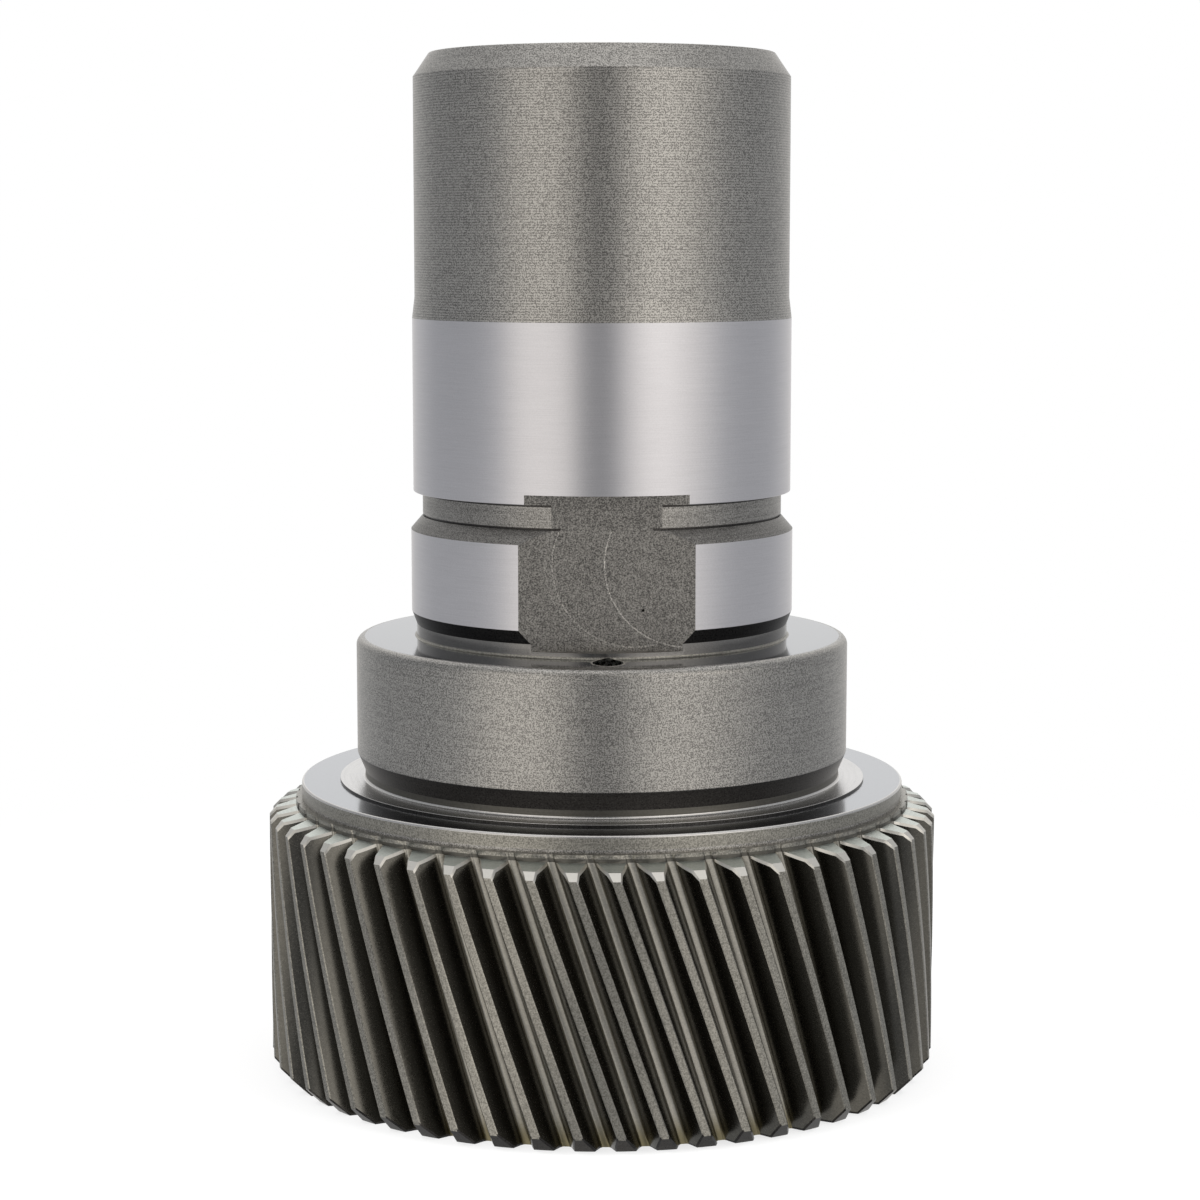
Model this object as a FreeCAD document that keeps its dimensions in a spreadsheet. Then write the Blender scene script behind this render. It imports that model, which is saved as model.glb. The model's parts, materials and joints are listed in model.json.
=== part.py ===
import FreeCAD, Part
import os
import Sketcher

# Hollow one-piece transmission input shaft, standing on its gear end.
# The shaft axis is Z, the gear's end face lies at Z = 0 and the milled oil flat faces -Y.

# Driving dimensions in millimetres and degrees, and the counts of what repeats
SIZES = {
    # Helical sun gear at the lower end
    "gear_width": 35.0,
    "tooth_count": 53,
    "normal_module": 1.5,
    "helix_angle": 18.6,
    "pressure_angle": 20.0,
    "tooth_thickness": 2.76,
    "tip_diameter": 87.9,
    "root_diameter": 80.4,
    "tooth_phase": 4.67,
    "lower_tip_chamfer": 2.0,
    "end_bevel_drop": 0.6,
    "upper_tip_chamfer": 0.9,
    # Thrust face above the teeth, with its raised inner pad
    "wall_diameter": 80.9,
    "wall_height": 0.95,
    "rim_diameter": 79.3,
    "rim_height": 2.2,
    "pad_diameter": 69.2,
    "pad_height": 0.3,
    # Collar with an undercut at each end
    "neck_diameter": 62.6,
    "neck_height": 1.1,
    "lower_cone_height": 2.4,
    "collar_diameter": 64.6,
    "collar_height": 15.15,
    "collar_round": 1.5,
    "relief_diameter": 48.7,
    "relief_height": 1.7,
    "relief_cone_height": 1.7,
    # Bearing journal, retaining ring groove and seal journal
    "journal_diameter": 50.0,
    "journal_length": 10.7,
    "groove_diameter": 46.95,
    "groove_bevel_height": 1.75,
    "groove_width": 3.2,
    "seal_diameter": 49.35,
    "seal_length": 22.45,
    # Nose with its lead-in chamfer
    "step_cone_height": 2.7,
    "nose_diameter": 48.7,
    "nose_length": 28.1,
    "nose_chamfer_height": 3.0,
    "nose_chamfer_width": 2.05,
    # Oil flat and the slanted oil hole at its foot
    "flat_distance": 22.45,
    "flat_foot_gap": 0.8,
    "flat_height": 19.5,
    "oil_hole_diameter": 3.8,
    "oil_hole_radius": 26.8,
    "oil_hole_slant": 30.0,
    "oil_hole_depth": 22.0,
    # Splined bore in the nose
    "spline_count": 31,
    "spline_minor_diameter": 31.8,
    "spline_major_diameter": 34.6,
    "spline_length": 46.0,
    "spline_root_width": 1.1,
    "spline_mouth_width": 2.3,
    "spline_relief_length": 6.0,
    "spline_relief_diameter": 35.6,
    "mouth_chamfer": 1.6,
    # Oil passage and pilot bore
    "passage_diameter": 20.0,
    "drill_point_angle": 118.0,
    "pilot_diameter": 30.0,
    "pilot_length": 26.0,
    # Recess in the gear end with straight clutch teeth
    "clutch_count": 30,
    "clutch_minor_diameter": 54.0,
    "clutch_major_diameter": 58.6,
    "clutch_length": 12.0,
    "clutch_root_width": 2.2,
    "clutch_mouth_width": 3.9,
    "clutch_relief_length": 3.5,
    "clutch_relief_diameter": 60.0,
}

# How far a cutting profile runs past the surface that it opens
OVERCUT = 1.0
# Radial run of the tooth flank points past the tip circle
FLANK_OVERRUN = 0.8
# Corners of the chords that follow the collar's rounded edge, in degrees round its centre
ROUNDING_STEPS = (0, 30, 60, 90)

doc = FreeCAD.newDocument("InputShaft")
sheet = doc.addObject("Spreadsheet::Sheet", "Sizes")
for row, (alias, number) in enumerate(SIZES.items(), start=1):
    sheet.set("A%d" % row, alias)
    sheet.set("B%d" % row, str(number))
    sheet.setAlias("B%d" % row, alias)
doc.recompute()


def size(alias):
    """Expression for one driving dimension."""
    return "Sizes." + alias


def radius(alias):
    """Expression for half of a driving diameter."""
    return "(%s / 2)" % size(alias)


# Heights of the shoulders above the gear's end face, each built on the one below
LEVELS = {"tooth_end": size("gear_width")}


def stack(name, below, alias):
    LEVELS[name] = "(%s + %s)" % (LEVELS[below], size(alias))


stack("ledge", "tooth_end", "wall_height")
stack("thrust_face", "ledge", "rim_height")
stack("pad_top", "thrust_face", "pad_height")
stack("neck_top", "pad_top", "neck_height")
stack("collar_bottom", "neck_top", "lower_cone_height")
stack("collar_top", "collar_bottom", "collar_height")
stack("relief_top", "collar_top", "relief_height")
stack("journal_bottom", "relief_top", "relief_cone_height")
stack("journal_top", "journal_bottom", "journal_length")
stack("groove_floor_bottom", "journal_top", "groove_bevel_height")
stack("groove_top", "groove_floor_bottom", "groove_width")
stack("seal_top", "groove_top", "seal_length")
stack("nose_bottom", "seal_top", "step_cone_height")
stack("nose_chamfer_bottom", "nose_bottom", "nose_length")
stack("nose_top", "nose_chamfer_bottom", "nose_chamfer_height")

body = doc.addObject("PartDesign::Body", "InputShaft")
body.Label = "input_shaft"


def origin_plane(role):
    return next(f for f in body.Origin.OriginFeatures if f.Role == role)


def new_sketch(name, role):
    """Empty sketch lying on one of the body's origin planes."""
    sketch = body.newObject("Sketcher::SketchObject", name)
    sketch.AttachmentSupport = [(origin_plane(role), "")]
    sketch.MapMode = "FlatFace"
    return sketch


def value_of(sketch, expression):
    result = sketch.evalExpression(expression)
    return float(getattr(result, "Value", result))


def pin_corner(sketch, line, x_expression, y_expression):
    """Hold the start of a line at two expressions measured from the sketch origin."""
    for kind, expression in (("DistanceX", x_expression), ("DistanceY", y_expression)):
        amount = value_of(sketch, expression)
        if abs(amount) < 1e-9:
            axis = -2 if kind == "DistanceX" else -1
            sketch.addConstraint(Sketcher.Constraint("PointOnObject", line, 1, axis))
            continue
        index = sketch.addConstraint(Sketcher.Constraint(kind, -1, 1, line, 1, amount))
        sketch.setExpression("Constraints[%d]" % index, expression)


def closed_outline(sketch, corners):
    """Closed chain of straight lines through corners given as pairs of expressions."""
    points = [FreeCAD.Vector(value_of(sketch, x), value_of(sketch, y), 0) for x, y in corners]
    following = points[1:] + points[:1]
    lines = [sketch.addGeometry(Part.LineSegment(a, b), False) for a, b in zip(points, following)]
    for line, after in zip(lines, lines[1:] + lines[:1]):
        sketch.addConstraint(Sketcher.Constraint("Coincident", line, 2, after, 1))
    for line, (x, y) in zip(lines, corners):
        pin_corner(sketch, line, x, y)


def new_feature(kind, name):
    """Feature that keeps its faces as cut: merged faces would swallow gaps at the seam."""
    feature = body.newObject("PartDesign::" + kind, name)
    feature.Refine = False
    return feature


def finish(feature, grows=False):
    """Recompute and insist that the feature changed the solid the right way."""
    before = 0.0 if body.Shape.isNull() else body.Shape.Volume
    doc.recompute()
    body.Tip = feature
    doc.recompute()
    after = body.Shape.Volume
    changed = after > before + 1e-3 if grows else after < before - 1e-3
    if "Invalid" in feature.State or not changed:
        raise RuntimeError(feature.Name + " did not change the solid as meant")
    return feature


def collar_corner(angle):
    """Point on the rounded edge, at an angle round the centre of the rounding."""
    inset = "%s * (1 - cos(%d))" % (size("collar_round"), angle)
    drop = "%s * (1 - sin(%d))" % (size("collar_round"), angle)
    return "%s - %s" % (radius("collar_diameter"), inset), "%s - %s" % (LEVELS["collar_top"], drop)


def polar_pattern(name, originals, count):
    pattern = new_feature("PolarPattern", name)
    pattern.Originals = originals
    pattern.Axis = (originals[0].Profile[0], ["N_Axis"])
    pattern.Angle = 360
    pattern.setExpression("Occurrences", size(count))
    return finish(pattern)


# Turned outside of the shaft, from the axis outwards and then up to the nose
blank_sketch = new_sketch("BlankOutline", "XZ_Plane")
tip, wall, nose = radius("tip_diameter"), radius("wall_diameter"), radius("nose_diameter")
bevel_edge = "(%s - %s)" % (tip, size("upper_tip_chamfer"))
closed_outline(blank_sketch, [
    ("0", "0"),
    (tip + " - " + size("lower_tip_chamfer"), "0"),
    (tip, size("lower_tip_chamfer")),
    (tip, "%s - %s - %s" % (LEVELS["tooth_end"], size("end_bevel_drop"), size("upper_tip_chamfer"))),
    (bevel_edge, "%s - %s" % (LEVELS["tooth_end"], size("end_bevel_drop"))),
    (wall, LEVELS["tooth_end"]),
    (wall, LEVELS["ledge"]),
    (radius("rim_diameter"), LEVELS["ledge"]),
    (radius("rim_diameter"), LEVELS["thrust_face"]),
    (radius("pad_diameter"), LEVELS["thrust_face"]),
    (radius("pad_diameter"), LEVELS["pad_top"]),
    (radius("neck_diameter"), LEVELS["pad_top"]),
    (radius("neck_diameter"), LEVELS["neck_top"]),
    (radius("collar_diameter"), LEVELS["collar_bottom"]),
    *(collar_corner(angle) for angle in ROUNDING_STEPS),
    (radius("relief_diameter"), LEVELS["collar_top"]),
    (radius("relief_diameter"), LEVELS["relief_top"]),
    (radius("journal_diameter"), LEVELS["journal_bottom"]),
    (radius("journal_diameter"), LEVELS["journal_top"]),
    (radius("groove_diameter"), LEVELS["groove_floor_bottom"]),
    (radius("groove_diameter"), LEVELS["groove_top"]),
    (radius("seal_diameter"), LEVELS["groove_top"]),
    (radius("seal_diameter"), LEVELS["seal_top"]),
    (nose, LEVELS["nose_bottom"]),
    (nose, LEVELS["nose_chamfer_bottom"]),
    ("%s - %s" % (nose, size("nose_chamfer_width")), LEVELS["nose_top"]),
    ("0", LEVELS["nose_top"]),
])
doc.recompute()
blank = new_feature("Revolution", "Blank")
blank.Profile = blank_sketch
blank.ReferenceAxis = (blank_sketch, ["V_Axis"])
blank.Angle = 360
finish(blank, grows=True)

# Stepped bore from the clutch recess up through the pilot bore and oil passage to the splines
recess_top = "(%s + %s)" % (size("clutch_length"), size("clutch_relief_length"))
pilot_top = "(%s + %s)" % (recess_top, size("pilot_length"))
drill_cone = "((%s - %s) / tan(%s / 2))" % (
    radius("pilot_diameter"), radius("passage_diameter"), size("drill_point_angle"))
spline_bottom = "(%s - %s)" % (LEVELS["nose_top"], size("spline_length"))
spline_relief_bottom = "(%s - %s)" % (spline_bottom, size("spline_relief_length"))
mouth_radius = "(%s + %s)" % (radius("spline_minor_diameter"), size("mouth_chamfer"))
bore_sketch = new_sketch("BoreOutline", "XZ_Plane")
closed_outline(bore_sketch, [
    ("0", "-%s" % OVERCUT),
    (radius("clutch_minor_diameter"), "-%s" % OVERCUT),
    (radius("clutch_minor_diameter"), size("clutch_length")),
    (radius("clutch_relief_diameter"), size("clutch_length")),
    (radius("clutch_relief_diameter"), recess_top),
    (radius("pilot_diameter"), recess_top),
    (radius("pilot_diameter"), pilot_top),
    (radius("passage_diameter"), "%s + %s" % (pilot_top, drill_cone)),
    (radius("passage_diameter"), spline_relief_bottom),
    (radius("spline_relief_diameter"), spline_relief_bottom),
    (radius("spline_relief_diameter"), spline_bottom),
    (radius("spline_minor_diameter"), spline_bottom),
    (radius("spline_minor_diameter"), "%s - %s" % (LEVELS["nose_top"], size("mouth_chamfer"))),
    ("%s + %s" % (mouth_radius, OVERCUT), "%s + %s" % (LEVELS["nose_top"], OVERCUT)),
    ("0", "%s + %s" % (LEVELS["nose_top"], OVERCUT)),
])
doc.recompute()
bore = new_feature("Groove", "Bore")
bore.Profile = bore_sketch
bore.ReferenceAxis = (bore_sketch, ["V_Axis"])
bore.Angle = 360
finish(bore)


def straight_gap(name, root_diameter, minor_diameter, root_width, mouth_width):
    """Sketch of one gap between straight internal teeth, opening towards the axis."""
    sketch = new_sketch(name, "XY_Plane")
    root_half, mouth_half = size(root_width) + " / 2", size(mouth_width) + " / 2"
    root_x = "sqrt((%s)^2 - (%s)^2)" % (radius(root_diameter), root_half)
    mouth_x = radius(minor_diameter)
    inner_x = "(%s - %s)" % (mouth_x, OVERCUT)
    closed_outline(sketch, [
        (inner_x, "-" + mouth_half),
        (mouth_x, "-" + mouth_half),
        (root_x, "-" + root_half),
        (root_x, root_half),
        (mouth_x, mouth_half),
        (inner_x, mouth_half),
    ])
    return sketch


# Spline gaps, cut from the nose down into the spline relief
spline_sketch = straight_gap("SplineGapOutline", "spline_major_diameter", "spline_minor_diameter",
                             "spline_root_width", "spline_mouth_width")
spline_sketch.setExpression(".AttachmentOffset.Base.z", LEVELS["nose_top"])
doc.recompute()
spline_gap = new_feature("Pocket", "SplineGap")
spline_gap.Profile = spline_sketch
spline_gap.setExpression("Length", "%s + %s / 2" % (size("spline_length"), size("spline_relief_length")))
finish(spline_gap)
splines = polar_pattern("Splines", [spline_gap], "spline_count")

# Clutch tooth gaps, cut from the gear end up into the clutch relief
clutch_sketch = straight_gap("ClutchGapOutline", "clutch_major_diameter", "clutch_minor_diameter",
                             "clutch_root_width", "clutch_mouth_width")
doc.recompute()
clutch_gap = new_feature("Pocket", "ClutchGap")
clutch_gap.Profile = clutch_sketch
clutch_gap.Reversed = True
clutch_gap.setExpression("Length", "%s + %s / 2" % (size("clutch_length"), size("clutch_relief_length")))
finish(clutch_gap)
clutch_teeth = polar_pattern("ClutchTeeth", [clutch_gap], "clutch_count")

# Oil flat: one straight pass of an end mill across the journals
flat_foot = "(%s + %s)" % (LEVELS["collar_top"], size("flat_foot_gap"))
flat_half_width = "(%s)" % radius("journal_diameter")
flat_sketch = new_sketch("FlatOutline", "XZ_Plane")
closed_outline(flat_sketch, [
    ("-" + flat_half_width, flat_foot),
    (flat_half_width, flat_foot),
    (flat_half_width, "%s + %s" % (flat_foot, size("flat_height"))),
    ("-" + flat_half_width, "%s + %s" % (flat_foot, size("flat_height"))),
])
flat_sketch.setExpression(".AttachmentOffset.Base.z", size("flat_distance"))
doc.recompute()
oil_flat = new_feature("Pocket", "OilFlat")
oil_flat.Profile = flat_sketch
oil_flat.Reversed = True
oil_flat.setExpression("Length", "%s - %s + %s" % (
    radius("journal_diameter"), size("flat_distance"), OVERCUT))
finish(oil_flat)

# Oil hole: a drill held in the plane X = 0, slanting down from the collar face into the passage
slant = size("oil_hole_slant")
hole_radius = radius("oil_hole_diameter")


def along_drill(distance, aside):
    """Point at a distance down the drill axis from the collar face, and aside of that axis."""
    y = "-%s + (%s) * cos(%s) + (%s) * sin(%s)" % (size("oil_hole_radius"), distance, slant, aside, slant)
    z = "%s - (%s) * sin(%s) + (%s) * cos(%s)" % (LEVELS["collar_top"], distance, slant, aside, slant)
    return y, z


drill_start = "-%s" % (5 * OVERCUT)
drill_end = size("oil_hole_depth")
hole_sketch = new_sketch("OilHoleOutline", "YZ_Plane")
closed_outline(hole_sketch, [
    along_drill(drill_start, "0"),
    along_drill(drill_end, "0"),
    along_drill(drill_end, hole_radius),
    along_drill(drill_start, hole_radius),
])
doc.recompute()
oil_hole = new_feature("Groove", "OilHole")
oil_hole.Profile = hole_sketch
oil_hole.ReferenceAxis = (hole_sketch, ["Edge1"])
oil_hole.Angle = 360
finish(oil_hole)

# Helical tooth gap, drawn in the transverse plane below the gear.
# At any radius the flank lies at the gap's half angle there, which follows the involute.
pitch_radius = "(%s * %s / cos(%s) / 2)" % (
    size("tooth_count"), size("normal_module"), size("helix_angle"))
transverse_angle = "(atan(tan(%s) / cos(%s)) / 1deg)" % (size("pressure_angle"), size("helix_angle"))
base_radius = "(%s * cos(%s))" % (pitch_radius, transverse_angle)


def involute(angle):
    """Involute function of an angle in degrees, in degrees."""
    return "(tan(%s) * 180 / pi - %s)" % (angle, angle)


def half_gap_angle(at_radius):
    pressure_there = "(acos(%s / %s) / 1deg)" % (base_radius, at_radius)
    half_tooth = "%s / 2 / %s * 180 / pi" % (size("tooth_thickness"), pitch_radius)
    return "(180 / %s - %s - %s + %s)" % (
        size("tooth_count"), half_tooth, involute(transverse_angle), involute(pressure_there))


def flank_point(at_radius, side):
    angle = half_gap_angle(at_radius)
    return "%s * cos(%s)" % (at_radius, angle), "%s%s * sin(%s)" % (side, at_radius, angle)


root = radius("root_diameter")
outer_radius = "(%s + %s)" % (tip, FLANK_OVERRUN)
middle_radius = "((%s + %s) / 2)" % (tip, root)
gap_sketch = new_sketch("ToothGapOutline", "XY_Plane")
closed_outline(gap_sketch, [
    flank_point(outer_radius, "-"),
    flank_point(middle_radius, "-"),
    flank_point(root, "-"),
    flank_point(root, ""),
    flank_point(middle_radius, ""),
    flank_point(outer_radius, ""),
])
gap_sketch.setExpression(".AttachmentOffset.Base.z", "-%s" % OVERCUT)
gap_sketch.AttachmentOffset.Rotation.Axis = FreeCAD.Vector(0, 0, 1)
gap_sketch.setExpression(".AttachmentOffset.Rotation.Angle", size("tooth_phase"))
doc.recompute()
tooth_gap = new_feature("SubtractiveHelix", "ToothGap")
tooth_gap.Profile = gap_sketch
tooth_gap.ReferenceAxis = (gap_sketch, ["N_Axis"])
tooth_gap.Mode = "pitch-height-angle"
tooth_gap.LeftHanded = True
tooth_gap.setExpression("Pitch", "2 * pi * %s / tan(%s)" % (pitch_radius, size("helix_angle")))
tooth_gap.setExpression("Height", "%s + %s" % (LEVELS["ledge"], 2 * OVERCUT))
finish(tooth_gap)
teeth = polar_pattern("Teeth", [tooth_gap], "tooth_count")

# Nothing is written unless every object is sound
for item in doc.Objects:
    if {"Invalid", "Error"} & set(item.State):
        raise RuntimeError(item.Name + " failed to build")
if body.Shape.isNull() or not body.Shape.isValid() or len(body.Shape.Solids) != 1:
    raise RuntimeError("the shaft is not one sound solid")

os.makedirs("parts", exist_ok=True)
body.Shape.exportStep(os.path.join("parts", body.Label + ".step"))
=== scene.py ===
import json
import math

import bpy
import numpy as np
from bpy.props import FloatProperty, FloatVectorProperty, IntProperty, PointerProperty
from bpy.types import Operator, Panel, PropertyGroup
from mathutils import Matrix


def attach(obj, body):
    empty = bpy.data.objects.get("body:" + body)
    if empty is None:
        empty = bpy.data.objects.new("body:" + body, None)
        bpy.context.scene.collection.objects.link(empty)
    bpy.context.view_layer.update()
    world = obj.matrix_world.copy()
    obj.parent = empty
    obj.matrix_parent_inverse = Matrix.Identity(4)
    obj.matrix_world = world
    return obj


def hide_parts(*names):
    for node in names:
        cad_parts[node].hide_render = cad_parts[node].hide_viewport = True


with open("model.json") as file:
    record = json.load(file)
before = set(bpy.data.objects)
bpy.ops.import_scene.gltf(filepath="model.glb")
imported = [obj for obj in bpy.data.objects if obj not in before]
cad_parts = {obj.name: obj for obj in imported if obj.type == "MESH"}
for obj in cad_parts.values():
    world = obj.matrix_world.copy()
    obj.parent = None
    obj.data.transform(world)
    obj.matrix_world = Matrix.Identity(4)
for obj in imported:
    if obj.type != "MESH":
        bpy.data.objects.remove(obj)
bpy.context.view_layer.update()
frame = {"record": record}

bl_info = {
    "name": "Gearbox input shaft",
    "version": (1, 0, 0),
    "blender": (4, 5, 0),
    "location": "View3D > Sidebar > Shaft",
    "description": "Builds a helical gear input shaft in steel, with a stage to show it on",
    "category": "Object",
}

MM = 0.001
SEATS = {mount["name"]: mount for mount in frame["record"]["mounts"]}
NODE = "input_shaft"

# Columns round the turned outside and round the bore.
OUTSIDE_COLUMNS = 320
BORE_COLUMNS = 160

# Rows of points up each tooth gap, and the heights of rows between the ends of the inner teeth.
GAP_ROWS = 15
SPLINE_ROWS = (120 * MM, 109 * MM, 98 * MM)
CLUTCH_ROWS = (8 * MM, 4 * MM)

# Heights of the bands in which the columns of the gear and of the bore's teeth meet the turned ones.
RIM_BAND = 0.45 * MM
BORE_BAND = 0.5 * MM

# Radii of the turned edges' roundings.
ROUND = {"rim": 0.28 * MM, "pad": 0.04 * MM, "neck": 0.3 * MM, "collar": 0.25 * MM, "relief": 0.3 * MM,
         "seal": 0.12 * MM, "nose": 0.2 * MM, "bore": 0.3 * MM}

# Form of each face round one gap of the inner teeth, counted from the first.
FORM_ROUND_GAP = (1, 1, 2, 2, 3, 3, 4, 4)

# Depth under the gear's foot at which its phase is given.
PHASE_DEPTH = 1 * MM

# Break along a land's edges: how far it reaches down the flank and across the land.
BREAK_DOWN = 0.12 * MM
BREAK_ACROSS = 0.08 * MM

# Size of the broad clouds in every steel's tone, and their share of it.
CLOUD_SIZE = 7 * MM
CLOUD_SHARE = 0.3

# How far the cutter of the flat reaches sideways and outwards, well clear of the shaft, the sides of
# the drill for the oil hole, and how far above the collar's face it starts.
MILL_REACH = 40 * MM
DRILL_SIDES = 48
DRILL_START = 8 * MM

# Number of each surface's first form. Edges between faces of different forms are sharp.
FORMS = {"outside": 100, "bore": 200, "splines": 300, "clutch": 400, "gear": 500, "foot": 600,
         "flat": 700, "hole": 710}

# The lamps' places, what they point at, their side in metres and their power in watts.
LAMPS = {"left_soft_box": (-0.7, -0.3, 0.8), "right_soft_box": (0.7, -0.3, 0.8)}
LAMP_TARGET = (0, 0, 0.05)
LAMP_SIZE = 0.7
LAMP_POWER = 9.0

# Strength of the studio's light beside its plain white backdrop.
STUDIO_STRENGTH = 1.15

# Sides of the round floor, width of the camera's sensor in millimetres, and its shift in widths.
FLOOR_SIDES = 64
SENSOR_WIDTH = 36
LENS_SHIFT = -0.00156

# The finishes, in the order of the piece's material slots.
FINISHES = ("hardened", "nose", "ground", "grooved", "bevel", "relief", "undercut", "dark_grey_turned", "milled",
            "hobbed", "root", "land", "tooth_end", "brushed", "lapped", "polished", "pad", "bored",
            "drilled")
SLOT = {finish: index for index, finish in enumerate(FINISHES)}


def linear(code):
    """Turns an sRGB hex colour such as #8a8780 to linear red, green and blue.

    A part v is v / 12.92 up to 0.04045, and ((v + 0.055) / 1.055) ** 2.4 over that."""
    values = [int(code[place:place + 2], 16) / 255 for place in (1, 3, 5)]
    return tuple(v / 12.92 if v <= 0.04045 else ((v + 0.055) / 1.055) ** 2.4 for v in values)


def dimmed(colour, share):
    """A colour with each of its parts times a share, which is over 1 for a lighter one."""
    return tuple(share * part for part in colour)


def length(name, description, size):
    """A length for the panel, given in millimetres and kept in metres."""
    return FloatProperty(name=name, description=description, default=size * MM, unit="LENGTH",
                         subtype="DISTANCE", precision=5)


def angle(name, description, degrees):
    """An angle for the panel, given in degrees and kept in radians."""
    return FloatProperty(name=name, description=description, default=math.radians(degrees),
                         unit="ROTATION", subtype="ANGLE")


def colour(name, description, code):
    """A colour for the panel, given as sRGB hex and kept linear."""
    return FloatVectorProperty(name=name, description=description, default=linear(code), size=3,
                               subtype="COLOR", min=0, max=1)


class TurnedSizes(PropertyGroup):
    """Radii and heights of the turned outside, from the teeth up to the nose."""
    rim_radius: length("Rim radius", "Outer radius of the thrust face", 39.65)
    ledge_height: length("Ledge height", "Height of the ledge above the teeth", 35.95)
    thrust_height: length("Thrust face height", "Height of the polished thrust face",
                          SEATS["thrust_face"]["pos_m"][2] / MM)
    pad_radius: length("Pad radius", "Outer radius of the raised pad on the thrust face", 34.6)
    pad_height: length("Pad top", "Height of the pad's top", 38.45)
    neck_radius: length("Neck radius", "Radius of the neck under the collar", 31.3)
    neck_height: length("Neck top", "Height at which the neck ends", 39.55)
    collar_radius: length("Collar radius", "Radius of the collar", 32.3)
    collar_bottom: length("Collar bottom", "Height at which the collar reaches its full radius", 41.95)
    collar_height: length("Collar face", "Height of the face that the bearing meets", 57.1)
    collar_round: length("Collar rounding", "Radius of the collar's upper edge", 1.1)
    relief_radius: length("Relief radius", "Radius of the undercut above the collar", 24.35)
    relief_height: length("Relief top", "Height at which the undercut's cone starts", 58.8)
    seat_radius: length("Seat radius", "Radius of the ground bearing seat",
                        SEATS["bearing_seat"]["dims"]["r_mm"])
    seat_bottom: length("Seat bottom", "Height at which the bearing seat starts", 60.5)
    seat_top: length("Seat top", "Height at which the bearing seat ends", 71.2)
    groove_radius: length("Groove radius", "Radius of the retaining ring groove's floor", 23.475)
    groove_bottom: length("Groove bottom", "Height at which the groove's floor starts", 72.95)
    groove_top: length("Groove top", "Height of the groove's upper wall", 76.15)
    recess: length("Groove recess", "Width and depth of the recess at the groove's foot", 0.3)
    seal_radius: length("Seal radius", "Radius of the ground seal journal",
                        SEATS["seal_journal"]["dims"]["r_mm"])
    seal_top: length("Seal top", "Height at which the seal journal ends", 98.6)
    nose_radius: length("Nose radius", "Radius of the nose", 24.35)
    nose_bottom: length("Nose bottom", "Height at which the nose starts", 101.3)
    nose_top: length("Nose top", "Height of the nose's end face", 132.4)
    chamfer_height: length("Nose chamfer height", "Height of the nose's lead-in chamfer", 3.0)
    chamfer_width: length("Nose chamfer width", "Radial width of the nose's lead-in chamfer", 2.05)
    mouth_land: length("Mouth land", "Radius of the ring in which the nose's face meets the bore", 18.2)


class CutSizes(PropertyGroup):
    """The milled oil flat and the slanted oil hole."""
    flat_distance: length("Flat distance", "Distance of the milled flat from the axis", 22.45)
    flat_bottom: length("Flat foot", "Height at which the flat starts", 57.9)
    flat_top: length("Flat top", "Height at which the flat ends", 77.4)
    hole_radius: length("Oil hole radius", "Radius of the slanted oil hole", 1.9)
    hole_distance: length("Oil hole distance", "Distance of the hole's middle from the axis", 26.8)
    hole_slant: angle("Oil hole slant", "Angle of the hole below level", 45)
    hole_depth: length("Oil hole depth", "Length of the hole below the collar face", 24.0)


class GearSizes(PropertyGroup):
    """The left-hand helical gear."""
    teeth: IntProperty(name="Teeth", description="Number of gear teeth", default=53, min=12)
    module: length("Module", "Normal module of the teeth", 1.5)
    pressure: angle("Pressure angle", "Pressure angle square to the tooth", 20)
    helix: angle("Helix angle", "Angle of the teeth to the axis, left-hand", 18.6)
    phase: angle("Phase", "Angle of the first gap 1 mm below the foot", 4.67)
    thickness: length("Tooth thickness", "Tooth thickness on the pitch circle", 2.76)
    tip_radius: length("Tip radius", "Radius over the teeth", 43.95)
    root_radius: length("Root radius", "Radius at the foot of the gaps", 40.2)
    wall_radius: length("Wall radius", "Radius of the wall above the teeth", 40.45)
    fillet: length("Root fillet", "Rounding at the foot of the flanks", 0.3)
    width: length("Face width", "Height at which the teeth meet the wall", 35.0)
    foot_chamfer: length("Foot chamfer", "Chamfer at the lower tooth ends", 2.0)
    tip_chamfer: length("Tip chamfer", "Chamfer at the upper tooth ends", 0.9)
    end_drop: length("End slope", "Fall of the upper tooth ends from the wall to the chamfer", 0.6)


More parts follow.
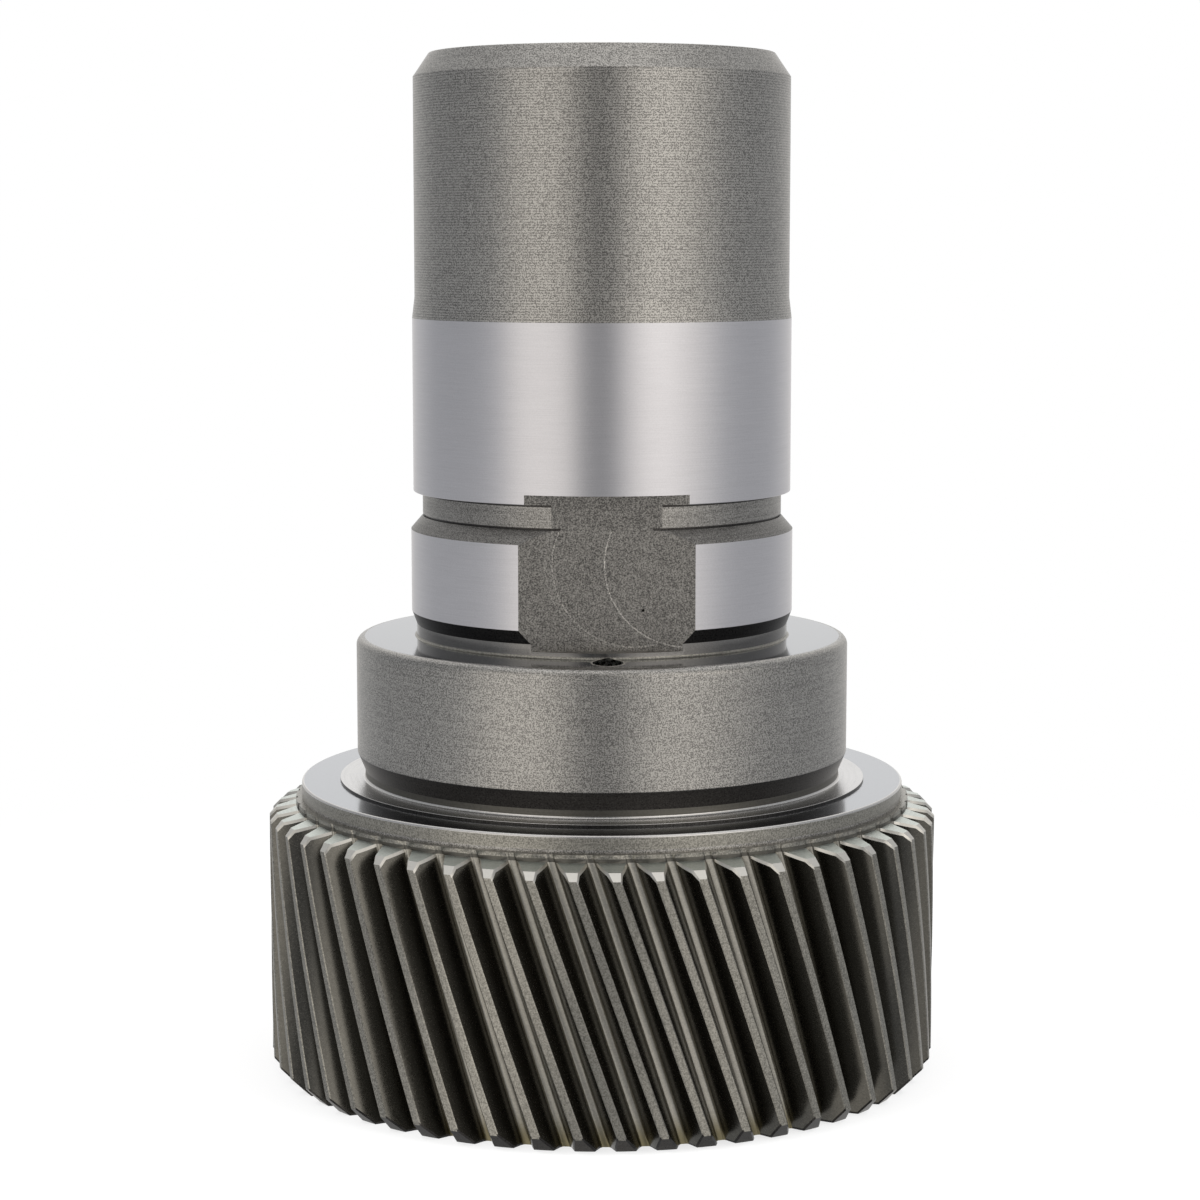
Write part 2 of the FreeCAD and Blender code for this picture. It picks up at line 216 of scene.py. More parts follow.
class BoreSizes(PropertyGroup):
    """The splined bore, the oil passage, the pilot bore and the clutch teeth."""
    splines: IntProperty(name="Splines", description="Number of spline teeth", default=31, min=6)
    spline_minor: length("Spline minor radius", "Radius between the spline tops", 15.9)
    spline_major: length("Spline major radius", "Radius over the spline gaps", 17.3)
    spline_root: length("Spline gap floor", "Width of a spline gap's floor", 1.1)
    spline_mouth: length("Spline gap mouth", "Width of a spline gap's mouth", 2.3)
    spline_bottom: length("Spline end", "Height at which the splines end", 86.4)
    mouth_radius: length("Mouth radius", "Radius of the bore's mouth in the nose face", 17.5)
    relief_radius: length("Run-out radius", "Radius of the tool run-out behind the splines", 17.8)
    relief_bottom: length("Run-out end", "Height at which the run-out ends", 80.4)
    passage_radius: length("Passage radius", "Radius of the oil passage", 10.0)
    passage_bottom: length("Passage end", "Height at which the passage ends", 44.5)
    pilot_radius: length("Pilot radius", "Radius of the pilot bore", SEATS["pilot_bore"]["dims"]["r_mm"])
    pilot_top: length("Pilot top", "Height at which the drill's cone starts", 41.5)
    pilot_bottom: length("Pilot bottom", "Height at which the pilot bore starts", 15.5)
    clutch_teeth: IntProperty(name="Clutch teeth", description="Number of clutch teeth", default=30, min=6)
    clutch_minor: length("Clutch minor radius", "Radius between the clutch tooth tops", 27.0)
    clutch_major: length("Clutch major radius", "Radius over the clutch gaps", 29.3)
    clutch_root: length("Clutch gap floor", "Width of a clutch gap's floor", 2.2)
    clutch_mouth: length("Clutch gap mouth", "Width of a clutch gap's mouth", 3.9)
    clutch_top: length("Clutch tooth end", "Height at which the clutch teeth end", 12.0)
    clutch_relief: length("Clutch run-out radius", "Radius of the run-out behind the clutch teeth", 30.0)


class SteelColours(PropertyGroup):
    """Colours of the shaft's finishes."""
    scale_light: colour("Hardened steel, light", "Light grain of the hardened skin", "#bfbcb7")
    scale_dark: colour("Hardened steel, dark", "Dark grain of the hardened skin", "#7a7875")
    ground: colour("Ground steel", "Colour of the ground seats", "#dad8db")
    milled_light: colour("Milled steel, light", "Light grain of the milled flat", "#95928d")
    milled_dark: colour("Milled steel, dark", "Dark grain of the milled flat", "#504e4c")
    polished: colour("Lapped steel", "Colour of the lapped faces", "#a3a5a9")
    tooth: colour("Tooth steel", "Colour of the lands and flanks", "#9b9890")
    bright: colour("Bright steel", "Colour of the deburred edges", "#dedbd4")


class StageSettings(PropertyGroup):
    """The floor and the camera."""
    floor_radius: length("Floor radius", "Radius of the floor", 1200)
    floor: colour("Floor", "Colour of the floor", "#f6f6f6")
    camera_distance: length("Camera distance", "Distance of the camera from the axis", 375.3)
    camera_height: length("Camera height", "Height of the camera above the floor", 109.35)
    camera_azimuth: angle("Camera azimuth", "Turn of the camera from square on to the flat", 1.6)
    camera_pitch: angle("Camera pitch", "Angle at which the camera looks down", 7.27)
    lens: FloatProperty(name="Lens", description="Focal length on a 36 mm sensor", default=86.04,
                        unit="CAMERA")


class Skin:
    """Points, four-cornered faces, and each face's form and finish. A triangle repeats its last corner.

    Faces of one form are shaded smoothly into each other, and an edge between two forms is sharp."""

    def __init__(self, points, faces, form, finish):
        self.points = points.reshape(-1, 3)
        self.faces = faces.reshape(-1, 4)
        self.form = np.broadcast_to(form, len(self.faces)).astype(np.int32)
        self.finish = np.broadcast_to(finish, len(self.faces)).astype(np.int32)


def ring_points(radius, angles, height):
    """Cylindrical to plain coordinates: x = r cos a, y = r sin a, z = height, for arrays of one shape."""
    radius, angles, height = np.broadcast_arrays(radius, angles, height)
    return np.stack([radius * np.cos(angles), radius * np.sin(angles), height], axis=-1)


def ring_quads(rows, columns):
    """Faces of a closed grid: each joins a point to the next one round and to the two above them."""
    index = np.arange(rows * columns).reshape(rows, columns)
    following = np.roll(index, -1, axis=1)
    return np.stack([index[:-1], following[:-1], following[1:], index[1:]], axis=-1)


def strip_quads(count, rows, columns):
    """Faces of many open grids of one size that lie one after another in an array of points."""
    index = np.arange(count * rows * columns).reshape(count, rows, columns)
    return np.stack([index[:, :-1, :-1], index[:, :-1, 1:], index[:, 1:, 1:], index[:, 1:, :-1]], axis=-1)


def zip_rings(first, second, form, finish):
    """Triangles between two rings of different counts.

    Each edge of a ring is an event at its middle angle, and its triangle ends at the point that the
    other ring has reached by then, which is the number of that ring's events that came before."""
    angles = [np.unwrap(np.arctan2(ring[:, 1], ring[:, 0])) for ring in (first, second)]
    angles[1] = angles[1] - 2 * np.pi * np.round((angles[1][0] - angles[0][0]) / (2 * np.pi))
    times = []
    for values in angles:
        following = np.append(values[1:], values[0] + 2 * np.pi)
        times.append((values + following) / 2)
    count, others = len(first), len(second)
    here = np.arange(count)
    reached = np.searchsorted(times[1], times[0], side="left") % others + count
    there = np.arange(others)
    passed = np.searchsorted(times[0], times[1], side="right") % count
    lower = np.stack([here, (here + 1) % count, reached, reached], axis=-1)
    upper = np.stack([passed, (there + 1) % others + count, there + count, there + count], axis=-1)
    return Skin(np.concatenate([first, second]), np.concatenate([lower, upper]), form, finish)


def turned_rows(corners, longest=3.0 * MM, steps=8):
    """Rows of a turned profile, with its rounded corners drawn as arcs.

    A corner is (radius, height, rounding, finish of the stretch before it, finish of its arc), and an arc
    with no finish of its own takes the stretch's. The arc touches both stretches at rounding times the
    tangent of half the turn. The form changes at a corner that has no rounding. Returns the rows' radii
    and heights, and the form and finish between them."""
    path = np.array([corner[:2] for corner in corners])
    pieces = []
    form = 0
    start = path[0]
    for place in range(1, len(corners)):
        rounding, finish = corners[place][2:4]
        end = path[place]
        if rounding:
            before = (path[place] - path[place - 1]) / np.linalg.norm(path[place] - path[place - 1])
            after = (path[place + 1] - path[place]) / np.linalg.norm(path[place + 1] - path[place])
            turn = math.atan2(before[0] * after[1] - before[1] * after[0], before @ after)
            end = path[place] - before * rounding * math.tan(abs(turn) / 2)
        parts = max(1, math.ceil(np.linalg.norm(end - start) / longest))
        line = start + (end - start) * np.linspace(0, 1, parts + 1)[:, None]
        pieces.append((line, form, SLOT[finish]))
        start = end
        if rounding:
            share = np.linspace(0, 1, steps + 1)[:, None] * turn
            side = np.array([-before[1], before[0]]) * math.copysign(1, turn)
            arc = end + rounding * (side * (1 - np.cos(share)) + before * np.sin(np.abs(share)))
            pieces.append((arc, form, SLOT[corners[place][-1]]))
            start = arc[-1]
        else:
            form += 1
    rows = np.concatenate([pieces[0][0][:1]] + [piece[0][1:] for piece in pieces])
    forms = np.concatenate([np.full(len(piece[0]) - 1, piece[1]) for piece in pieces])
    finishes = np.concatenate([np.full(len(piece[0]) - 1, piece[2]) for piece in pieces])
    return rows, forms, finishes


def turned_skin(corners, columns, first_form):
    """A profile of radius and height carried round the axis: x = r cos a, y = r sin a."""
    rows, forms, finishes = turned_rows(corners)
    angles = np.arange(columns) * (2 * np.pi / columns)
    points = ring_points(rows[:, :1], angles[None, :], rows[:, 1:])
    skin = Skin(points, ring_quads(len(rows), columns), np.repeat(forms + first_form, columns),
                np.repeat(finishes, columns))
    return skin, points


def outside_corners(size):
    """The turned outside from the rim up to the nose's end face, as corners of its profile. The near-black
    undercut finish on the pad's step, on the cones under the collar and the seat, and on the groove's recess
    and upper end is painted shade.
    """
    chamfer_radius = size.nose_radius - size.chamfer_width
    return [
        (size.rim_radius, size.ledge_height + RIM_BAND, 0, "hardened"),
        (size.rim_radius, size.thrust_height, ROUND["rim"], "land", "pad"),
        (size.pad_radius, size.thrust_height, 0, "lapped"),
        (size.pad_radius, size.pad_height, ROUND["pad"], "undercut", "pad"),
        (size.neck_radius, size.pad_height, ROUND["neck"], "pad"),
        (size.neck_radius, size.neck_height, 0, "dark_grey_turned"),
        (size.collar_radius, size.collar_bottom, ROUND["collar"], "undercut", "hardened"),
        (size.collar_radius, size.collar_height, size.collar_round, "hardened"),
        (size.relief_radius, size.collar_height, ROUND["relief"], "polished", "land"),
        (size.relief_radius, size.relief_height, 0, "relief"),
        (size.seat_radius, size.seat_bottom, 0, "undercut"),
        (size.seat_radius, size.seat_top, 0, "ground"),
        (size.groove_radius, size.groove_bottom, 0, "bevel"),
        (size.groove_radius - size.recess, size.groove_bottom, 0, "undercut"),
        (size.groove_radius - size.recess, size.groove_bottom + size.recess, 0, "undercut"),
        (size.groove_radius, size.groove_bottom + size.recess, 0, "undercut"),
        (size.groove_radius, size.groove_top - size.recess, 0, "grooved"),
        (size.groove_radius, size.groove_top, 0, "undercut"),
        (size.seal_radius, size.groove_top, ROUND["seal"], "grooved", "ground"),
        (size.seal_radius, size.seal_top, 0, "ground"),
        (size.nose_radius, size.nose_bottom, 0, "nose"),
        (size.nose_radius, size.nose_top - size.chamfer_height, ROUND["nose"], "nose", "hardened"),
        (chamfer_radius, size.nose_top, ROUND["nose"], "hardened"),
        (size.mouth_land, size.nose_top, 0, "hardened"),
    ]


def bore_corners(size):
    """The turned inside from the splines' run-out down to the clutch teeth's, as corners."""
    return [
        (size.relief_radius, size.spline_bottom - BORE_BAND, 0, "bored"),
        (size.relief_radius, size.relief_bottom, ROUND["bore"], "bored"),
        (size.passage_radius, size.relief_bottom, ROUND["bore"], "bored"),
        (size.passage_radius, size.passage_bottom, 0, "bored"),
        (size.pilot_radius, size.pilot_top, 0, "bored"),
        (size.pilot_radius, size.pilot_bottom, ROUND["bore"], "bored"),
        (size.clutch_relief, size.pilot_bottom, ROUND["bore"], "bored"),
        (size.clutch_relief, size.clutch_top + BORE_BAND, 0, "bored"),
    ]


def inner_teeth(count, minor, major, floor, mouth, rows, first_form):
    """Straight internal teeth, as half gap widths carried round the axis and down the bore.

    A gap has a floor on the major radius and straight flanks to its mouth on the minor radius. rows
    gives, from the top, (kind, value): a circle of that radius and height, or the teeth's outline at a
    height that is a number or a function of the radius. Forms count from the first: 1 floors, 2 flanks,
    3 and 4 tops, 5 the upper end and 6 the lower. Returns the skin and its grid of points."""
    middle = (minor + major) / 2
    radii = np.array([major, major, middle, minor, minor])
    half = np.array([0, floor / 2 / major, (floor + mouth) / 4 / middle, mouth / 2 / minor, np.pi / count])
    order = np.array([-3, -2, -1, 0, 1, 2, 3, 4])
    offset = np.sign(order) * half[np.abs(order)]
    angles = (np.arange(count)[:, None] * (2 * np.pi / count) + offset).reshape(-1)
    outline = np.tile(radii[np.abs(order)], count)
    grid = []
    for kind, value in rows:
        radius = np.full(len(angles), value[0]) if kind == "circle" else outline
        height = value[1] if kind == "circle" else value(outline) if callable(value) else value
        grid.append(ring_points(radius, angles, np.broadcast_to(height, len(angles))))
    grid = np.array(grid)
    form = np.tile(np.array(FORM_ROUND_GAP), (len(rows) - 1, count))
    form[0] = 5
    if rows[-1][0] == "circle":
        form[-1] = 6
    skin = Skin(grid, ring_quads(len(rows), len(angles)), form.reshape(-1) + first_form, SLOT["bored"])
    return skin, grid


def pitch_radius(gear):
    """Radius of the pitch circle: teeth times normal module, over the helix's cosine, over two."""
    return gear.teeth * gear.module / math.cos(gear.helix) / 2


def gap_middle(gear, height):
    """Angle of the first gap's middle at a height. It falls by a full turn for each lead of height."""
    lead = 2 * math.pi * pitch_radius(gear) / math.tan(gear.helix)
    return gear.phase - 2 * np.pi * (height + PHASE_DEPTH) / lead


def gear_profile(gear):
    """Half a tooth gap and half a tooth: radii and angles from the gap's middle.

    A flank is an involute: its half gap angle at a radius is half a pitch, less half the tooth and
    inv(pressure angle) on the pitch circle, plus inv(arc cosine of base over that radius). The fillet is
    a quarter circle from the root to the flank. The last two points are the land's edge and middle."""
    pitch = pitch_radius(gear)
    pressure = math.atan(math.tan(gear.pressure) / math.cos(gear.helix))
    base = pitch * math.cos(pressure)

    def half_gap(radius):
        slope = np.arccos(base / radius)
        rise = np.tan(slope) - slope - (math.tan(pressure) - pressure)
        return math.pi / gear.teeth - gear.thickness / (2 * pitch) + rise

    at_wall = math.acos(1 - (gear.wall_radius - gear.root_radius) / gear.fillet)
    turn = np.array([0, at_wall / 2, at_wall, math.pi / 2])
    centre = gear.root_radius + gear.fillet
    start = half_gap(centre) - gear.fillet / centre
    fillet_radii = centre - gear.fillet * np.cos(turn)
    fillet_angles = start + gear.fillet * np.sin(turn) / fillet_radii
    tip = gear.tip_radius
    foot = tip - gear.foot_chamfer
    shoulder = tip - gear.tip_chamfer
    flank = np.array([(centre + foot) / 2, foot, (foot + shoulder) / 2, shoulder,
                      (shoulder + tip) / 2, tip - BREAK_DOWN])
    radii = np.concatenate([[gear.root_radius], fillet_radii, flank, [tip, tip]])
    angles = np.concatenate([[0], fillet_angles, half_gap(flank),
                             [half_gap(tip) + BREAK_ACROSS / tip, math.pi / gear.teeth]])
    return radii, angles


class ToothedRim:
    """The toothed rim: one gap's outline turned about the axis as it rises, repeated for each tooth.

    A point's angle is the gap's middle at its height plus its own offset. Each column runs from the foot
    chamfer to the sloped upper ends, and its first and last rows are drawn into the tooth to break the
    edges, more on the side where the helix makes them acute."""

    # Places in the profile at which the wall over the teeth, the foot chamfer and the tip chamfer start.
    # The gap's floor ends at the wall's place too.
    wall = 3
    foot = 6
    shoulder = 8
    # How far the end rows are drawn in at each place, and the shares of that on the left and the right
    # flank, at the lower and at the upper end.
    inset = np.array([0, 0, 0, 0, 0.12, 0.25, 0.3, 0.3, 0.3, 0.22, 0.1, 0, 0]) * MM
    lower_shares = (0.8, 0.3)
    upper_shares = (0.3, 1.0)
    # Heights that the edge breaks take up.
    lower_break = 0.3 * MM
    upper_break = 0.35 * MM

    def __init__(self, gear):
        radii, angles = gear_profile(gear)
        shoulder_radius, wall_radius = radii[self.shoulder], radii[self.wall]
        low = np.maximum(0, radii - radii[self.foot])
        slope = gear.end_drop / (shoulder_radius - wall_radius)
        high = np.where(radii > shoulder_radius, gear.width - gear.end_drop - (radii - shoulder_radius),
                        gear.width - np.maximum(0, radii - wall_radius) * slope)
        self.teeth = gear.teeth
        self.radii = radii
        # The land's edge. The profile runs from one land over the gap to the middle of the next.
        self.edge = len(radii) - 2
        order = np.concatenate([-np.arange(self.edge, 0, -1), np.arange(len(radii))])
        place = self.place = np.abs(order)
        side = np.sign(order)
        share = np.linspace(0, 1, GAP_ROWS)[:, None]
        bottom = low[place] + self.lower_break
        body = bottom + share * (high[place] - self.upper_break - bottom)
        self.heights = np.concatenate([low[place][None], body, high[place][None]])
        drawn_in = np.zeros_like(self.heights)
        for row, (left, right) in ((0, self.lower_shares), (-1, self.upper_shares)):
            drawn_in[row] = side * self.inset[place] * np.where(side > 0, right, left)
        gaps = np.arange(gear.teeth) * (2 * np.pi / gear.teeth)
        turn = gap_middle(gear, self.heights) + side * angles[place] + drawn_in / radii[place]
        self.turn = turn[:, None, :] + gaps[None, :, None]
        self.grid = ring_points(radii[place][None, None, :], self.turn, self.heights[:, None, :])

    def gap_skin(self, first_form):
        """Gaps and lands: forms 1 gap, 2 land breaks, 3 land, 4 and 5 the breaks above and below."""
        rows, columns = len(self.grid), self.teeth * len(self.place)
        breaks, land = [0, 2 * self.edge - 1], slice(2 * self.edge, None)
        band = np.full(len(self.place), 1)
        band[breaks] = 2
        band[land] = 3
        finish = np.full(len(self.place), SLOT["hobbed"])
        finish[self.edge - self.wall:self.edge + self.wall] = SLOT["root"]
        finish[breaks] = SLOT["land"]
        finish[land] = SLOT["land"]
        form = np.tile(band, (rows - 1, self.teeth)).reshape(rows - 1, self.teeth, -1)
        finish = np.tile(finish, (rows - 1, self.teeth)).reshape(rows - 1, self.teeth, -1)
        beyond = (np.minimum(self.place, np.roll(self.place, -1)) >= self.wall) & (band != 3)
        form[-1][:, beyond] = 4
        finish[-1][:, beyond] = SLOT["brushed"]
        # The breaks at the lower end are near black, as painted shade.
        form[0][:, beyond] = 5
        finish[0][:, beyond] = SLOT["undercut"]
        return Skin(self.grid, ring_quads(rows, columns), form.reshape(-1) + first_form,
                    finish.reshape(-1))

    def tooth_end(self, row, places):
        """Left edge, middle and right edge of each tooth's end, at these places of the profile."""
        left = self.turn[row][:, self.edge + places]
        right = self.turn[row][:, self.edge - places] + 2 * np.pi / self.teeth
        height = self.heights[row][self.edge + places]
        across = np.stack([left, (left + right) / 2, right], axis=-1)
        return ring_points(self.radii[places][None, :, None], across, height[None, :, None])

    def end_ring(self, row, reach, middles):
        """Ring along an end: each gap's points up to this place of the profile, and a tooth's middle."""
        inside = np.arange(self.edge - reach, self.edge + reach + 1)
        return np.concatenate([self.grid[row][:, inside], middles[:, None]], axis=1).reshape(-1, 3)


def gear_skins(gear, turned, first_form):
    """The gear's gaps, its tooth ends, and the wall and ledge over them.

    Forms go on from gap_skin's: 6 tip chamfers, 7 sloped ends, 8 foot chamfers, 9 wall, 10 ledge.
    Returns the skins, the ring at the gear's foot and the ring at the ledge's inner edge."""
    rim = ToothedRim(gear)
    upper_places = np.arange(rim.edge, rim.wall - 1, -1)
    upper = rim.tooth_end(-1, upper_places)
    is_tip = (np.arange(len(upper_places) - 1) < rim.edge - rim.shoulder)[None, :, None]
    shape = (gear.teeth, len(upper_places) - 1, 2)
    upper_form = np.broadcast_to(np.where(is_tip, 6, 7), shape).reshape(-1)
    upper_finish = np.broadcast_to(np.where(is_tip, SLOT["brushed"], SLOT["tooth_end"]), shape).reshape(-1)
    lower_places = np.arange(rim.foot, rim.edge + 1)
    lower = rim.tooth_end(0, lower_places)
    top = rim.end_ring(-1, rim.wall, upper[:, -1, 1])
    foot = rim.end_ring(0, rim.foot, lower[:, 0, 1])
    around = np.arctan2(top[:, 1], top[:, 0])
    spread = np.hypot(top[:, 0], top[:, 1])
    rings = [top]
    for radius, height in ((spread, (gear.width + turned.ledge_height) / 2),
                           (spread, turned.ledge_height), (turned.rim_radius, turned.ledge_height)):
        angles = around + gap_middle(gear, height) - gap_middle(gear, gear.width)
        rings.append(ring_points(radius, angles, height))
    # The wall's lower band, just over the teeth, is drawn dark grey as painted shade; its upper band and the
    # ledge are land steel.
    wall_form = np.repeat([9, 9, 10], len(top)) + first_form
    wall_finish = np.repeat([SLOT["dark_grey_turned"], SLOT["land"], SLOT["land"]], len(top))
    # The foot chamfers are near black, as painted shade.
    skins = [rim.gap_skin(first_form),
             Skin(upper, strip_quads(gear.teeth, len(upper_places), 3), upper_form + first_form,
                  upper_finish),
             Skin(lower, strip_quads(gear.teeth, len(lower_places), 3), 8 + first_form, SLOT["undercut"]),
             Skin(np.array(rings), ring_quads(len(rings), len(top)), wall_form, wall_finish)]
    return skins, foot, rings[-1]


def shaft_skins(turned, gear, bore):
    """The shaft's surfaces before the cuts, and the bands of triangles that join them."""
    outside, outside_grid = turned_skin(outside_corners(turned), OUTSIDE_COLUMNS, FORMS["outside"])
    inside, inside_grid = turned_skin(bore_corners(bore), BORE_COLUMNS, FORMS["bore"])
    cone = turned.nose_top - bore.mouth_radius
    spline, spline_grid = inner_teeth(
        bore.splines, bore.spline_minor, bore.spline_major, bore.spline_root, bore.spline_mouth,
        [("circle", (bore.mouth_radius, turned.nose_top)), ("teeth", lambda radius: radius + cone),
         *(("teeth", height) for height in SPLINE_ROWS), ("teeth", bore.spline_bottom),
         ("circle", (bore.relief_radius, bore.spline_bottom))], FORMS["splines"])
    clutch, clutch_grid = inner_teeth(
        bore.clutch_teeth, bore.clutch_minor, bore.clutch_major, bore.clutch_root, bore.clutch_mouth,
        [("circle", (bore.clutch_relief, bore.clutch_top)), ("teeth", bore.clutch_top),
         *(("teeth", height) for height in CLUTCH_ROWS), ("teeth", 0.0)], FORMS["clutch"])
    toothed, foot_ring, ledge_ring = gear_skins(gear, turned, FORMS["gear"])
    skins = toothed + [outside, inside, spline, clutch]
    for first, second, form, finish in (
            (ledge_ring, outside_grid[0], FORMS["outside"], "hardened"),
            (outside_grid[-1], spline_grid[0], outside.form.max(), "hardened"),
            (spline_grid[-1], inside_grid[0], FORMS["bore"], "bored"),
            (inside_grid[-1], clutch_grid[0], inside.form.max(), "bored"),
            (clutch_grid[-1], foot_ring, FORMS["foot"], "ground")):
        skins.append(zip_rings(first, second, form, SLOT[finish]))
    return skins


def weld(skins):
    """Joins skins into one set of points, faces, forms and finishes.

    Points that agree to a ten-thousandth of a millimetre are one. A face that repeats a corner becomes
    a triangle, and one that has fewer than three corners left goes."""
    starts = np.cumsum([0] + [len(skin.points) for skin in skins[:-1]])
    points = np.concatenate([skin.points for skin in skins])
    faces = np.concatenate([skin.faces + start for skin, start in zip(skins, starts)])
    form = np.concatenate([skin.form for skin in skins])
    finish = np.concatenate([skin.finish for skin in skins])
    _, kept, index = np.unique(np.round(points / (MM * 1e-4)).astype(np.int64), axis=0,
                               return_index=True, return_inverse=True)
    points = points[kept]
    faces = index.reshape(-1)[faces]
    repeats = faces == np.roll(faces, -1, axis=1)
    corners = 4 - repeats.sum(axis=1)
    quads = faces[corners == 4]
    triangles = faces[corners == 3][~repeats[corners == 3]].reshape(-1, 3)
    order = np.concatenate([np.flatnonzero(corners == 4), np.flatnonzero(corners == 3)])
    edges = np.concatenate([np.stack([quads, np.roll(quads, -1, axis=1)], axis=-1).reshape(-1, 2),
                            np.stack([triangles, np.roll(triangles, -1, axis=1)], axis=-1).reshape(-1, 2)])
    forward = np.sort(edges[:, 0] * len(points) + edges[:, 1])
    backward = np.sort(edges[:, 1] * len(points) + edges[:, 0])
    if len(np.unique(forward)) != len(forward) or not np.array_equal(forward, backward):
        raise RuntimeError("the shaft's skins don't close")
    return points, quads, triangles, form[order], finish[order]


def shaft_mesh(name, points, quads, triangles, form, finish):
    """A mesh from arrays, with each face's finish as its material slot and its form as an attribute."""
    mesh = bpy.data.meshes.new(name)
    mesh.from_pydata(points, [], quads.tolist() + triangles.tolist())
    mesh.polygons.foreach_set("material_index", finish)
    attribute = mesh.attributes.new("form", "INT", "FACE")
    attribute.data.foreach_set("value", form)
    mesh.update()
    return mesh


def box_cutter(low, high, form, finish):
    """A box between two corners, whose faces each have a form of their own."""
    corners = np.array([[x, y, z] for z in (low[2], high[2]) for y in (low[1], high[1])
                        for x in (low[0], high[0])])
    quads = np.array([[0, 2, 3, 1], [4, 5, 7, 6], [0, 1, 5, 4], [2, 6, 7, 3], [0, 4, 6, 2], [1, 3, 7, 5]])
    return shaft_mesh("cutter", corners, quads, np.empty((0, 3), int), form + np.arange(6),
                      np.full(6, SLOT[finish]))


def drill_cutter(cut, height, form):
    """A closed drill: two circles about a slanted axis, from above the face to its depth."""
    angles = np.arange(DRILL_SIDES) * (2 * np.pi / DRILL_SIDES)
    along = np.array([0, math.cos(cut.hole_slant), -math.sin(cut.hole_slant)])
    upward = np.array([0, math.sin(cut.hole_slant), math.cos(cut.hole_slant)])
    across = np.cross(upward, along)
    circle = cut.hole_radius * (np.cos(angles)[:, None] * across + np.sin(angles)[:, None] * upward)
    mouth = np.array([0, -cut.hole_distance, height])
    middles = np.array([mouth - along * DRILL_START, mouth + along * cut.hole_depth])
    points = np.concatenate([middles[0] + circle, middles[1] + circle, middles])
    start = np.arange(DRILL_SIDES)
    following = np.roll(start, -1)
    end = start + DRILL_SIDES
    walls = np.stack([start, following, following + DRILL_SIDES, end], axis=-1)
    start_fan = np.stack([following, start, np.full(DRILL_SIDES, 2 * DRILL_SIDES)], axis=-1)
    end_fan = np.stack([end, following + DRILL_SIDES, np.full(DRILL_SIDES, 2 * DRILL_SIDES + 1)], axis=-1)
    faces = 3 * DRILL_SIDES
    return shaft_mesh("cutter", points, walls, np.concatenate([start_fan, end_fan]),
                      np.full(faces, form), np.full(faces, SLOT["drilled"]))


def bake(thing):
    """Replaces an object's mesh by what its modifiers make of it."""
    graph = bpy.context.evaluated_depsgraph_get()
    baked = bpy.data.meshes.new_from_object(thing.evaluated_get(graph), preserve_all_data_layers=True,
                                            depsgraph=graph)
    thing.modifiers.clear()
    thing.data = baked


def cut_away(thing, mesh):
    """Takes a closed cutter out of a closed object. New faces keep the cutter's form and finish."""
    for material in thing.data.materials:
        mesh.materials.append(material)
    cutter = bpy.data.objects.new("cutter", mesh)
    bpy.context.scene.collection.objects.link(cutter)
    modifier = thing.modifiers.new("cut", "BOOLEAN")
    modifier.operation = "DIFFERENCE"
    modifier.solver = "MANIFOLD"
    modifier.object = cutter
    bake(thing)
    bpy.data.objects.remove(cutter)


def sharpen(mesh):
    """Marks each edge between two forms as sharp: its faces' lowest and highest form differ."""
    counts = np.empty(len(mesh.polygons), np.int32)
    mesh.polygons.foreach_get("loop_total", counts)
    edges = np.empty(len(mesh.loops), np.int32)
    mesh.loops.foreach_get("edge_index", edges)
    form = np.empty(len(mesh.polygons), np.int32)
    mesh.attributes["form"].data.foreach_get("value", form)
    form = np.repeat(form, counts)
    lowest = np.full(len(mesh.edges), form.max())
    highest = np.full(len(mesh.edges), form.min())
    np.minimum.at(lowest, edges, form)
    np.maximum.at(highest, edges, form)
    mesh.polygons.foreach_set("use_smooth", np.ones(len(mesh.polygons), bool))
    mesh.edges.foreach_set("use_edge_sharp", lowest != highest)
    mesh.update()


def add_node(tree, kind, settings=None, links=None):
    """Adds a node, gives its properties and inputs these settings, and links its inputs.

    A setting or link is named by property, by input name or by input number."""
    made = tree.nodes.new(kind)
    for key, value in (settings or {}).items():
        if isinstance(key, int) or key in made.inputs:
            made.inputs[key].default_value = value
        else:
            setattr(made, key, value)
    for key, (source, output) in (links or {}).items():
        tree.links.new(source.outputs[output], made.inputs[key])
    return made


def add_sum(tree, kind, settings, values):
    """Adds a node that works out one sum. A value is a number, a vector or a link as (node, output)."""
    links = {}
    for place, value in enumerate(values):
        if isinstance(value, tuple) and isinstance(value[0], bpy.types.Node):
            links[place] = value
        else:
            settings[place] = value
    return add_node(tree, kind, settings, links)


def math_node(tree, operation, *values, clamp=False):
    """A sum of numbers. With clamp its result stays in 0...1."""
    return add_sum(tree, "ShaderNodeMath", {"operation": operation, "use_clamp": clamp}, values)


def vector_node(tree, operation, *values):
    """A sum of vectors."""
    return add_sum(tree, "ShaderNodeVectorMath", {"operation": operation}, values)


def range_node(tree, source, before, after, shape="LINEAR"):
    """Takes a link's values from one range, as (low, high), to another, and holds them inside it."""
    return add_node(tree, "ShaderNodeMapRange",
                    {"interpolation_type": shape, "From Min": before[0], "From Max": before[1],
                     "To Min": after[0], "To Max": after[1]}, {"Value": source})


def noise_node(tree, source, size, detail=2.0, roughness=0.5):
    """Noise whose grains are about this size, in metres, at the places that a link gives."""
    return add_node(tree, "ShaderNodeTexNoise",
                    {"Scale": 1 / size, "Detail": detail, "Roughness": roughness}, {"Vector": source})


def new_material(name):
    """An empty node material and its tree."""
    material = bpy.data.materials.new(name)
    material.use_nodes = True
    material.node_tree.nodes.clear()
    return material, material.node_tree


